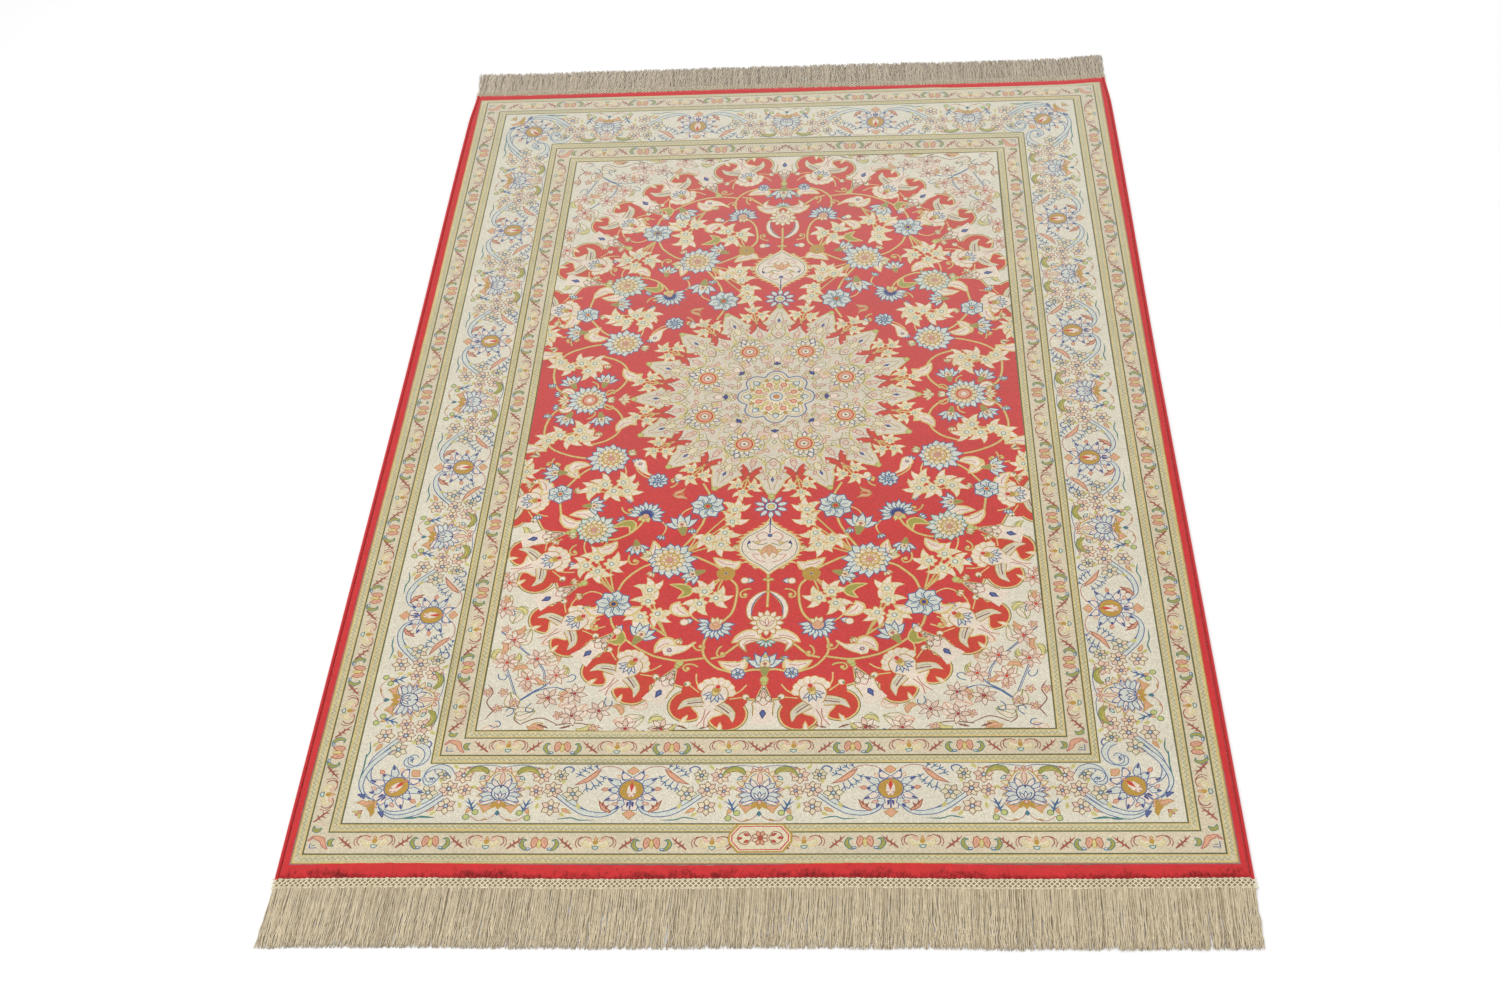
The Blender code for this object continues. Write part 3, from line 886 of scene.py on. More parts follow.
def star_point(notch, spur):
    """A red notch in the medallion's rim with its florets, and the ivory point beside it."""
    notch.cell("gold", "pearl", disc(18.5, 18, 137), 1.5)
    notch.line("olive", [122-9j, 117, 122+9j], steps=4)
    notch.cell("rose", "blush", disc(4.5, 7, 125), 0.9)
    notch.cell("rose", "blush", petal(15, 9, 124), 0.9)
    notch.fill("red", [152-6j, 157-11j, 168-14j, 172, 168+14j, 157+11j, 152+6j])
    for half in notch.halves():
        claw = curve([161+2j, 151+4j, 142+9.5j, 133+12j], steps=2)
        half.fill("umber", blade(claw, (1.6, 4.4, 5.4, 0)))
        half.fill("scarlet", blade(claw, (0.6, 3.4, 4.4, 0)))
    notch.at(149, 180).cell("rose", "ivory", petal(10, 5), 0.9)
    cluster(notch.at(176), (-4-9j, -4+9j, 8), 3, radius=7.2, stems=-18)
    notch.at(152).cell("amber", "peach", petal(8, 4), 0.8)
    for half in spur.halves():
        half.line("amber", [138+9j, 150+7j, 162+5.5j, 176+1.5j])
    spur.cell("amber", "cream", petal(20, 11, 136), 0.9)
    spur.at(157).cell("navy", "steel", [-4, 1-2.4j, 6, 1+2.4j], 0.9)
    spur.cell("amber", "sprout", disc(4.6, 8, 187), 1.1)
    spur.line("olive", [112-12j, 119, 112+12j], steps=4)
    spur.line("rose", [127-7j, 121-2j, 121+2j, 127+7j])


def star_filling(tile, spoke, odd):
    """The leaves and lines between the medallion's palmettes."""
    tile.cell("rose", "blush", box(70, -7, 84, 7) if odd else box(72, -6, 86, 6), 0.9)
    tile.line("olive", [58+3j, 66+9j, 76+11j, 88+9j, 96+2j])
    tile.line("gold", [90+5j, 100+8j, 108+4j, 113-3j, 108-8j])
    tile.at(92).cell("amber", "straw", lance(13, 7))
    if odd:
        tile.cell("olive", "straw", petal(10, 6, 57), 0.9)
    for reach, turn, edge, dye in (
            (54, 90, "rose", "blush"), (101, 55, "rose", "blush"), (116, 30, "olive", "cream"),
            (126, 70, "gold", "straw"), (139, 40, "rose", "blush")):
        for side in (1, -1):
            tile.at(reach * heading(side * 4.2), side * turn).cell(edge, dye, petal(10.5, 6.2))
    for reach, edge, dye in ((54, "olive", "cream"), (144, "olive", "cream"), (152, "rose", "blush")):
        for side in (1, -1):
            spoke.at(reach * heading(side * 1.6), side * 48).cell(edge, dye, petal(9.5, 5.4), 0.9)
    for half in spoke.halves():
        half.line("olive", [118, 126+8j, 136+9j, 140+3j])
    spoke.cell("rose", "blush", disc(4.5, 7, 129), 0.9)


def star_palmette(axis, bloom):
    """A tracery of leaves on the medallion's axis, and a palmette beside it."""
    axis.line("olive", [60, 70+7j, 84+9j, 94+3j, 88-3j, 82+2j])
    axis.line("gold", [60, 72-7j, 86-9j, 98-2j, 108+6j])
    for half in axis.halves():
        half.at(74+12j, 30).cell("amber", "straw", petal(13, 6), 0.9)
        half.at(104+12j, 60).cell("rose", "blush", petal(12, 6), 0.9)
    axis.cell("rose", "ivory", disc(6, 8, 76), 0.9)
    axis.fill("navy", [66-6j, 71, 66+6j, 63])
    for turn in range(0, 360, 24):
        bloom.at(0, turn).cell("blue" if turn % 48 else "olive", "ivory", lance(13, 8, 10.5), 1.15)
    bloom.at(0, 180).cell("blue", "ivory", lance(13, 9, 17), 1.2)
    bloom.cell("amber", "straw", disc(14, 14), 1.2)
    bloom.cell("scarlet", "peach", disc(11.5, 14), 2.2)
    bloom.cell("rose", "ivory", disc(6, 9), 1.1)
    bloom.fill("green", disc(2, 6))


def medallion(pen):
    """The ivory star at the middle: sixteen points, eight palmettes and a lobed centre."""
    for dye, grow in (("brown", 2.4), ("gold", 1.7), ("pearl", 0)):
        pen.fill(dye, inset(scallops(STAR_OUTLINE, 16), -grow), 2)
    for k in range(16):
        star_point(pen.at(0, 22.5 * k + 11.25), pen.at(0, 22.5 * k))
    for k in range(16):
        star_filling(pen.at(0, 22.5 * k + 11.25), pen.at(0, 22.5 * k), k % 2)
    for k in range(24):
        dash = pen.at(0, 15 * k + 4)
        dash.line("rose" if k % 2 else "olive", [58, 61+4j, 66+4j, 69, 66-3j], 0.9, steps=2)
        dash.cell("rose" if k % 3 else "amber", "blush" if k % 3 else "straw", petal(8, 5, 60), 0.8)
    for k in range(8):
        arch = pen.at(0, 22.5 + 45 * k)
        for dye, radius, width, turns in (
                ("olive", 25.5, 1.1, range(-130, 131, 20)), ("gold", 28.5, 1, range(-120, 121, 24))):
            arch.line(dye, [99 + radius * heading(turn) for turn in turns], width, steps=1)
    for k in range(8):
        star_palmette(pen.at(0, 45 * k), pen.at(0, 22.5 + 45 * k).at(99, 180))
    rim = curve(scallops(CENTRE_OUTLINE, 8), closed=True, steps=2)
    pen.cell("blue", "pearl", rim, 1.6)
    pen.cell("amber", "cream", inset(rim, 5), 0.8)
    for k in range(8):
        out = pen.at(0, 45 * k)
        out.cell("amber", "straw", lance(16, 11, 24))
        out.cell("steel", "ice", petal(13, 10, 31), 1.1)
        out.line("green", [30-12j, 36-6j, 34, 36+6j, 30+12j])
        turned = pen.at(0, 22.5 + 45 * k)
        turned.cell("scarlet", "peach", disc(4.6, 8, 25), 1.2)
        turned.cell("amber", "ochre", petal(9, 6, 30), 0.9)
        out.cell("amber", "straw", petal(13, 7, 13))
        turned.cell("rose", "blush", petal(9, 5, 12), 0.9)
    pen.cell("steel", "ice", disc(9, 10), 1.2)
    pen.cell("scarlet", "ochre", disc(4.5, 8), 1.2)


def field_chart():
    """The field's quarter: corners, red ground, flowers and medallion."""
    chart = Chart()
    pen = Pen(chart)
    pen.fill("border", box(0, 0, *BANDS["field"]))
    corner_ground(pen)
    red_ground(pen)
    field_edge(pen)
    field_flowers(pen)
    side_palmette(pen.at(246))
    pendant(pen)
    medallion(pen)
    return chart


# --- The borders: local +x runs along the band and +y outwards ---
def star(pen, radius=10.5, petals=7, edge="rust", dye="blush", eye="ice", rim="blue"):
    """An outlined star flower of the border."""
    for k in range(petals):
        pen.at(0, 360 * (k + 0.5) / petals).cell(edge, dye if k % 3 == 0 else "cream",
                lance(radius * 0.92, radius * 0.84, radius * 0.18), 0.85)
    pen.cell(rim, eye, disc(radius * 0.26, 7))


def lotus(pen):
    """The border's pale lotus with olive leaves above and blue sprigs below."""
    for turn in range(-216, 37, 18):
        tip = heading(turn)
        pen.at(-5j + 15.5 * tip.real + 19 * tip.imag * 1j, turn).cell(
            "amber" if turn % 4 else "rose", "cream" if turn % 4 else "blush", lance(12, 8))
    rim = curve([-31j, 9-27j, 16-17j, 20-4j, 19+8j, 13+17j, -13+17j, -19+8j, -20-4j,
                 -16-17j, -9-27j], closed=True, steps=2)
    pen.cell("amber", "cream", rim, 1.2)
    for turn in (-160, -138, -116, -64, -42, -20, -182, 2, 22, 158):
        pen.at(2j, turn).cell("steel", "ice" if turn % 4 else "ivory", petal(18, 8.5, 6))
    pen.spray((20, 160), "steel", "ivory", petal(22, 6, 3), 1.1, root=8j)
    pen.at(-8j, -90).cell("rose", "blush", petal(20, 7, 2), 0.9)
    pen.cell("navy", "ice", disc(10.5, 14), 1.3)
    pen.fill("navy", [-1.5-9j, 1.5-9j, -5j])
    pen.spray((-125, -90, -55), "blue", "ivory", petal(12, 5), root=9j)
    for half in pen.twins():
        half.line("steel", [-33j, 10-36j, 26-36.5j, 40-33j], 0.9)
        spine = curve([42-21j, 37-28j, 29-32j, 20-30j, 17-24j], steps=4)
        half.fill("green", blade(spine, (0, 2.4, 4, 3.6, 0.8)))
        half.fill("leaf", blade(spine, (0, 1.3, 3, 2.6, 0)))
        half.line("sprout", [38-25j, 30-31j, 22-27j], 0.9)
        half.line("ochre", [36-27j, 30-29.5j, 24-28j], 1.2)
        half.at(20-21j, 35).cell("teal", "ice", petal(9, 5, -2))
        half.line("steel", [4-26j, 9-22j, 12-14j], 0.9)
        half.cell("ochre", "peach", [4+15j, 17+16j, 25+13j, 18+21j, 15+27j, 9+21j, 4+19j], 1.3)
        half.at(13-2j, -20).cell("steel", "ivory", petal(10, 4), 0.9)
        tail = [26+27j, 28+21j, 31+14j, 34+7j]
        half.line("blue", tail, 2, ends=(1, 0.4))
        for spot, tip in ((28+21j, 22+13j), (28+22j, 36+16j), (30+16j, 25+8j), (31+15j, 39+9j)):
            half.fill("blue", [spot - 1.5, spot + 1.5, tip])
        half.cell("green", "sprout", disc(4, 9, 24+25.5j), 0.9)
        half.cell("green", "sprout", disc(4, 9, 33+32j), 0.9)
        half.line("rose", [29+30j, 22+35.5j, 13+35.5j, 6+32j, 1+26j], 0.9)
        half.fill("amber", [9+34j, 18+36j, 13+33j])
    pen.cell("amber", "ochre", [-9+19j, -8+13j, 9j, 8+13j, 9+19j, 3+18j, 22j, -3+18j], 0.9)
    pen.cell("rose", "blush", disc(2.6, 7, 12j), 0.8)
    pen.at(23j, 90).cell("blue", "teal", [-1j, 4-3j, 7, 4+3j, 1j], 0.8)
    for spot in (-33j, -3-30j, 3-30j):
        pen.cell("rose", "blush", disc(2.2, 6, spot), 0.8)


def pomegranate(pen, feathers=True):
    """The border's golden fruit in a ring of blue petals."""
    for half in pen.twins():
        collar = [4j, 11+2j, 13+8j, 9+15j, 8+22j, 22j]
        half.cell("steel", "ivory", collar)
        for turn, spot, length in (
                (-30, 10-11j, 21), (24, 11+1j, 20), (-66, 5-16j, 17), (-2, 12-5j, 15), (58, 7+7j, 16)):
            tip = half.at(spot, turn)
            tip.cell("steel", "ice" if turn % 4 else "ivory", lance(length, 10))
            tip.fill("navy", [length * 0.62 + 1.6j, length * 0.96 + 0j, length * 0.62 - 1.6j])
        half.at(24-6j, -4).cell("rose", "peach", petal(9, 6), 0.9)
        half.at(13-20j, -60).cell("peach", "cream", petal(7, 5), 0.9)
        half.at(12+12j, 10).cell("rose", "blush", petal(9, 5), 0.9)
        half.fill("navy", [1+10j, 4+11j, 3.5+18j, 1.5+15j])
        half.cell("steel", "ivory", [-22j, 9-29j, 13-26j, 11-19j, 4-18j])
        if feathers:
            half.line("rose", [10-31j, 20-36j, 32-36j, 41-30j, 48-21j, 60-13j])
            spine = curve([34-33j, 42-25j, 50-18j, 63-11.5j], steps=3)
            half.cell("rust", "peach", blade(spine, (0, 3.4, 3.2, 0)))
            for spot, tip in (
                    (38-33j, 42-39j), (43-31j, 50-37j), (47-28j, 57-33j), (51-23j, 62-27j),
                    (36-24j, 28-20j), (40-20j, 32-12j), (45-17j, 38-6j), (50-14j, 47-2j)):
                twig = half.at(spot)
                away = tip - spot
                twig.line("blue", [0j, away * 0.6, away], 1.3, steps=2, ends=(0.8, 0.6))
                for bend in (48, -48):
                    twig.line("blue", [away * 0.5, away * 0.5 + 0.5 * away * heading(bend)], 1.1, steps=1)
            lower = curve([20+24j, 28+18j, 34+8j], steps=3)
            half.cell("rust", "peach", blade(lower, (1, 3.4, 0)), 1.2)
            half.fill("rust", [25+21j, 22+13j, 27+17j])
            half.fill("rust", [28+18j, 28+9j, 31+13j])
    pen.cell("amber", "peach", [-37j, 7-31j, 5-28j, -25j, -5-28j, -7-31j])
    pen.cell("amber", "peach", [20j, 8+26j, 5+29j, 34j, -5+29j, -8+26j])
    pen.cell("steel", "ochre", disc(14.2, 18, -5j), 1.2)
    pen.cell("amber", "ivory", [-15j, 5-10j, 6-2j, 3+5j, -3+5j, -6-2j, -5-10j])
    pen.fill("scarlet", [-16j, 2.4-10j, -2j, -2.4-10j])
    for spot in (-3, 3, 3j):
        pen.fill("pink", disc(1.5, 5, spot))
    pen.cell("rose", "pink", disc(2.2, 6, -18j), 0.7)


def star_chain(pen, squeeze=1):
    """The flowers and the double stem that lead from the lotus at the origin to the next fruit."""
    def drawn_in(*spots):
        return [complex(spot.real * squeeze, spot.imag) for spot in spots]

    outer = curve(drawn_in(60+3j, 75+16j, 92+27j, 112+30j, 126+24j, 131+16j), steps=4)
    inner = curve(drawn_in(81+5j, 87+15j, 98+22j, 112+24.5j, 124+21j, 130+14j), steps=4)
    pen.fill("ice", outer + inner[::-1])
    for line in (outer, inner):
        pen.line("steel", line[::2], 1.1, steps=2)
    pen.line("blue", drawn_in(62-2j, 80+14j, 98+22j), 0.9)
    pen.line("teal", drawn_in(66+33.5j, 80+31j, 90+34j, 106+34j), 1.5, ends=(0.5, 0.3))
    pen.line("steel", drawn_in(70-26j, 66-32j, 71-36j, 77-33j, 75-27j), 1.7, ends=(0.6, 0.5))
    for u, v, turn in (
            (50, -31, -50), (66, -12, -70), (46, 4, 150), (84, 12, 60), (34, -8, 170), (66, 24, 40),
            (62, -21, -20), (43, 12, 100)):
        pen.at(complex(u * squeeze, v), turn).cell("gold", "sprout", petal(9.5, 4.6), 0.8)
    for u, v, turn, length in ((36, -33, 20, 15), (70, 20, 30, 14), (30, 20, 60, 12)):
        pen.at(complex(u * squeeze, v), turn).cell("amber", "peach", lance(length, 6, -2))
    for i, (u, v) in enumerate(((57, 18), (43, -23), (79, 0), (57, -5), (39, -3), (64, -24))):
        edge = ("umber", "rust", "lineolive")[i % 3]
        star(pen.at(complex(u * squeeze, v), 13 * i), 10.6 - (2.4 if i > 3 else 0), 7 if i % 2 else 6, edge)


def corner_bloom(pen):
    """The fruit at the border's corner, along its diagonal, with an ice spiral on each side."""
    pomegranate(pen.at(0, -45), False)

    def arm(half):
        # Local to the half strip: +x leads away from the corner, +y outwards.
        spiral = [-62-18j, -57-26j, -48-30j, -37-27j, -31-18j, -34-9j, -42-8j, -46-14j, -42-19j]
        half.line("ice", spiral, 6.5, steps=4, ends=(0.5, 0.4))
        for shift in (2.6, -2.2):
            half.line("steel", [p * (1 + shift * 0.02) + shift * (0.3-0.7j) for p in spiral])
        for bend in (0, 60, 120, 180):
            half.line("blue", [-40-15j, -40-15j + 3.4 * heading(bend)], 1.3, steps=1)
        sweep = [-57+10j, -40+26j, -24+34j, -8+36j, 5+30j, 13+20j]
        half.line("ice", sweep, 6, steps=4, ends=(0.3, 0.5))
        half.line("steel", [p + 2.6j - 1 for p in sweep], 1.1, steps=4)
        half.line("steel", [p - 2.6j + 1.5 for p in sweep], 1.1, steps=4)
        half.line("teal", [-50+38j, -34+37j, -12+39j], 1.5, ends=(0.4, 0.3))
        half.cell("navy", "steel", blade(curve([5+37j, 7+31j, 12+29j], steps=3), (0.6, 3, 0)), 0.9)

    arm(pen)
    arm(Pen(pen.chart, pen.spot, pen.turn * 1j, not pen.flip))
    lily_pen = pen.at(16+15j, 45)
    for side in (1, -1):
        lip = [0j, 5 + side * 5j, 9 + side * 12j, 16 + side * 14j, 13 + side * 7j, 12 + side * 1j, 6]
        lily_pen.cell("amber", "ochre" if side > 0 else "peach", lip)
    lily_pen.cell("rust", "peach", blade([16, 20, 26], (0, 3, 1)))
    lily_pen.spray((52, -52), "amber", "sprout", petal(9, 4), 0.8, root=20)


def guard_flower(pen):
    """The guard's two-lobed flower with an ochre heart and a teal cup."""
    for half in pen.twins():
        half.line("rust", [5-6.5j, 11-8.5j, 17-6j, 18.5, 15+4j], 1.2)
        half.line("rust", [15-8.5j, 20-5j, 21.5, 19.5+5j])
        lobe_line = curve([3j, 5+5.5j, 11+4j, 14-1j, 10-5j, 4-3.5j, -1j], steps=3)
        half.cell("gold", "cream", lobe_line, 0.9)
        half.at(3-2j, -28).cell("peach", "blush", petal(9, 4.6), 0.8)
        half.line("straw", [3+2j, 8+3j, 11-1j], steps=2)
    pen.at(-1j, -90).cell("amber", "peach", petal(6.5, 4.5, 1), 0.8)
    pen.cell("amber", "ochre", disc(3.1, 7, -1j), 0.8)
    pen.cell("teal", "ice", [-4+3.5j, 4+3.5j, 3+7j, 8.6j, -3+7j])


def guard_tulip(pen):
    """The guard's peach tulip between two green leaves that curl."""
    for half in pen.twins():
        leaf_line = curve([9+8j, 15+7.5j, 19+2j, 17-4j, 13-3.5j], steps=3)
        half.cell("teal", "leaf", blade(leaf_line, (0.8, 2.3, 2.7, 1.8, 0.5)))
        half.at(10+7j, 12).cell("steel", "ice", petal(7, 3.5, -2), 0.8)
        half.cell("rust", "peach", [0.6-4j, 4-8j, 8-6j, 9.5+1j, 7+7.5j, 3+4j])
        half.fill("pink", [4-5j, 6-3j, 6.5+2j, 4.5])
    pen.cell("amber", "straw", [-6j, 2.6-1j, 2.4+5j, 7j, -2.4+5j, -2.6-1j], 0.8)


def guard_sprig(pen, side):
    """A brown feather sprig that slants away on the given side."""
    twig = pen.twins()[side < 0]
    twig.line("rust", [-8-8j, -1-1j, 6+5j, 9+8j], 2.3, steps=2, ends=(0.2, 0.4))
    for spot, tip in ((-3-3j, -2-8.5j), (1+1j, 4-5j), (-1-1j, -6+1j), (4+4j, 7-0.5j), (3+3j, -1+6.5j)):
        twig.fill("rust", [spot - 1.2 - 0.6j, spot + 1.2 + 0.6j, tip])


def guard_corner(pen):
    """The peach scroll and two green leaves at a guard's corner."""
    scroll = curve([-14+8j, -9+3j, -6-4j, -7j, 6-9j], steps=3)
    pen.cell("rose", "peach", blade(scroll, (0.8, 2.6, 3.6, 3, 0.8)))
    pen.at(4-8j, 40).cell("rose", "pink", petal(8, 4), 0.8)
    for spot, turn in ((-20+4j, -60), (-3-20j, 10)):
        hook = pen.at(spot, turn)
        hook.cell("teal", "leaf", blade(curve([0j, 4+3j, 8+1j, 8-4j], steps=3), (0.6, 2.8, 2.8, 0.6)), 0.9)
    pen.line("steel", [-2+6j, 6+6j, 6-1j], 1.1, steps=1)
    pen.line("teal", [3j, 4+3j], steps=1)


# Each guard's flowers, tulips and sprigs, by their place from its middle; a sprig's sign is its slant.
END_GUARDS = {
    "inner_guard": ((35.5, 159.6, 280), (99, 220), (-71, 125, -190, 250, -311)),
    "outer_guard": ((48.5, 171, 287.5, 406), (0, 112, 231, 347), (24, -84, 137, -204, 256, -320, 374, -438)),
}
SIDE_GUARDS = {
    "inner_guard": ((62, 174, 287, 404, 520), (0, 118, 231, 346, 462),
                    (-31, 91, -146, 204, -258, 317, -374, 434, -490, 548)),
    "outer_guard": ((74, 181, 293, 410, 524, 640), (16, 128, 238, 352, 467, 583),
                    (-45, 101, -155, 210, -265, 323, -381, 439, -495, 554, -611, 668)),
}


def strip_pens(chart, inner, outer):
    """Pens on the two arms of a band: at the middle of its end strip and of its side strip."""
    (x0, y0), (x1, y1) = BANDS[inner], BANDS[outer]
    end = Pen(chart, complex(0, (y0 + y1) / 2))
    side = Pen(chart, complex((x0 + x1) / 2, 0), 1j, True)
    return end, side


def lay_band(chart, inner, outer, ground):
    """Lays a band's ground on a chart as two arms that meet at the corner."""
    (x0, y0), (x1, y1) = BANDS[inner], BANDS[outer]
    chart.lay(ground, [1j * y0, x0 + 1j * y0, x0 + 0j, x1 + 0j, x1 + 1j * y1, 1j * y1])


def main_chart():
    """The main border's quarter."""
    chart = Chart()
    lay_band(chart, "second_stripe", "main_border", "border")
    end, side = strip_pens(chart, "second_stripe", "main_border")
    side = side.at(-2j)
    for pen in (end, end.at(281).twins()[1], end.at(281), end.twins()[1]):
        star_chain(pen)
    for middle in (0, 250, 509):
        for pen in side.at(middle).twins():
            star_chain(pen, 0.91)
    corner_bloom(Pen(chart, 399+636j))
    lotus(end.at(0))
    pomegranate(end.at(139))
    lotus(end.at(281))
    for middle in (0, 250, 509):
        lotus(side.at(middle))
    for middle in (126, 381):
        pomegranate(side.at(middle))
    return chart


def plate_chart():
    """A quarter of the small plate in the front guard: gold and red rims round a plain rosette."""
    chart = Chart()
    pen = Pen(chart)
    for dye, rim in (("ochre", 0), ("cream", 1.7), ("red", 2.9), ("cream", 4)):
        x, y = PLATE_REACH[0] - 1.2 * rim, PLATE_REACH[1] - rim
        pen.fill(dye, [0j, x + 0j, x + 0.25j * y, 0.72 * x + 1j * y, 1j * y])
    for k in range(8):
        pen.at(0, 45 * k + 22.5).cell("rust", "peach" if k % 2 else "cream", petal(8.5, 6, 1.5))
    pen.cell("rust", "scarlet", disc(2.6, 8), 0.9)
    for spot, turn in ((14+4j, 30), (14-4j, -30), (21, 0)):
        pen.at(spot, turn).cell("rust", "scarlet", petal(7.5, 4.2, -3), 0.9)
    pen.line("rust", [9, 14+8j, 21+6j, 24+1j], 1.1)
    return chart


def stripe_lines(chart, inner, outer):
    """A stripe between two bands: a pale zigzag on straw between dark lines."""
    (x0, y0), (x1, y1) = BANDS[inner], BANDS[outer]
    wide, tall = x1 - x0, y1 - y0

    def loop(share, dye, width):
        x, y = x0 + share * wide, 1j * (y0 + share * tall)
        deep = y + 1j * width
        chart.lay(dye, [x + width + 0j, x + width + deep, deep, y, x + y, x + 0j])

    rim = "ochre" if outer == "fourth_stripe" else "lineolive"
    for share, dye, width in (
            (0, "lineolive", 1.9), (0.17, "gold", 1.5), (0.70, "gold", 1.4), (0.84, rim, 0.13 * wide),
            (0.97, "stripe", 0.03 * wide)):
        loop(share, dye, width)
    step = 3
    for arm, length in (("side", y0 + 0.4 * tall), ("end", x0 + 0.4 * wide)):
        count = int(length / step)
        for k in range(count):
            a, b = (0.33, 0.62) if k % 2 else (0.62, 0.33)
            u0, u1 = k * step, (k + 1) * step
            if arm == "side":
                rising = [complex(x0 + a * wide, u0), complex(x0 + b * wide, u1)]
                chart.lay("olive", rising + [p + 1.1 for p in rising[::-1]])
            else:
                rising = [complex(u0, y0 + a * tall), complex(u1, y0 + b * tall)]
                chart.lay("olive", rising + [p + 1.1j for p in rising[::-1]])


def guard_chart(before, inner, outer, after):
    """A guard band's quarter with the stripe on each side of it."""
    chart = Chart()
    lay_band(chart, before, after, "stripe")
    lay_band(chart, inner, outer, "guard")
    stripe_lines(chart, before, inner)
    stripe_lines(chart, outer, after)
    end, side = strip_pens(chart, inner, outer)
    for pen, plan in ((end, END_GUARDS), (side, SIDE_GUARDS)):
        flowers, tulips, sprigs = plan[outer]
        for middle in flowers:
            guard_flower(pen.at(middle))
        for middle in tulips:
            guard_tulip(pen.at(middle))
        for place in sprigs:
            guard_sprig(pen.at(abs(place)), place)
    (x0, y0), (x1, y1) = BANDS[inner], BANDS[outer]
    guard_corner(Pen(chart, complex((x0 + x1) / 2, (y0 + y1) / 2)))
    return chart


def inner_chart():
    """The inner guard's quarter."""
    chart = guard_chart("field", "first_stripe", "inner_guard", "second_stripe")
    end, _ = strip_pens(chart, "first_stripe", "inner_guard")
    guard_sprig(end.at(7), -1)
    return chart


def outer_chart():
    """The outer guard's quarter, with a thin violet line against the red edge."""
    chart = guard_chart("main_border", "third_stripe", "outer_guard", "fourth_stripe")
    x, y = BANDS["fourth_stripe"]
    chart.lay("mauve", [complex(x, 0), complex(x, y), complex(0, y), complex(0, y - 1.3),
                        complex(x - 0.9, y - 1.3), complex(x - 0.9, 0)])
    return chart


# === From chart to pile ===
GRID = 16.0


def winding(points, spot):
    """How often an outline runs anticlockwise round a spot."""
    turns = 0
    a = points[-1]
    for b in points:
        if (a.imag <= spot.imag) != (b.imag <= spot.imag):
            side = ((b - a).conjugate() * (spot - a)).imag
            turns += (b.imag > a.imag and side > 0) - (b.imag < a.imag and side < 0)
        a = b
    return turns


def inlay(chart):
    """The chart's uppermost dyes as triangles: the corner places, then corners and shape number of each."""
    corners, outlines = [], []
    for _, points in chart.shapes:
        outlines.append(list(range(len(corners), len(corners) + len(points))))
        corners.extend(Vector((p.real, p.imag)) for p in points)
    places, _, triangles, _, _, owners = delaunay_2d_cdt(corners, [], outlines, 1, 1e-4, True)
    places = [complex(*place) for place in places]
    covered = [0.0] * len(chart.shapes)
    for triangle, owner in zip(triangles, owners):
        area = signed_area([places[k] for k in triangle])
        for shape in owner:
            covered[shape] += area
    # The triangulation gets a shape that crosses itself wrong, so that shape is tested place by place.
    odd = {k for k, (_, points) in enumerate(chart.shapes)
           if abs(covered[k] - signed_area(points)) > 0.02 * signed_area(points) + 0.2}
    near = {}
    for k in odd:
        points = chart.shapes[k][1]
        across = [int(p.real // GRID) for p in points]
        along = [int(p.imag // GRID) for p in points]
        for i in range(min(across), max(across) + 1):
            for j in range(min(along), max(along) + 1):
                near.setdefault((i, j), []).append(k)
    laid = []
    for triangle, owner in zip(triangles, owners):
        if 0 not in owner:
            continue
        middle = sum(places[k] for k in triangle) / 3
        cover = [shape for shape in owner if shape not in odd]
        for shape in near.get((int(middle.real // GRID), int(middle.imag // GRID)), ()):
            if shape > cover[-1] and winding(chart.shapes[shape][1], middle) > 0:
                cover.append(shape)
        laid.append((triangle, max(cover), cover))
    return places, laid


def clean_quarter(chart):
    """The quarter's points, and its triangles with their dye and zone, as few as the dyes allow."""
    places, laid = inlay(chart)
    dyes = sorted({dye for dye, _ in chart.shapes})
    mesh = bmesh.new()
    corners = [mesh.verts.new((p.real, p.imag, 0.0)) for p in places]
    for triangle, shape, owner in laid:
        zone = max((chart.zones[k] for k in owner if k in chart.zones), default=0)
        face = mesh.faces.new([corners[k] for k in triangle])
        face.material_index = dyes.index(chart.shapes[shape][0]) + len(dyes) * zone
    mesh.normal_update()
    bmesh.ops.dissolve_limit(mesh, angle_limit=0.08, use_dissolve_boundaries=False, verts=mesh.verts,
            edges=mesh.edges, delimit={"MATERIAL"})
    bmesh.ops.triangulate(mesh, faces=mesh.faces, quad_method="BEAUTY", ngon_method="BEAUTY")
    mesh.verts.index_update()
    spots = [(v.co.x, v.co.y) for v in mesh.verts]
    faces = [([v.index for v in f.verts], dyes[f.material_index % len(dyes)], f.material_index // len(dyes))
             for f in mesh.faces]
    mesh.free()
    return spots, faces


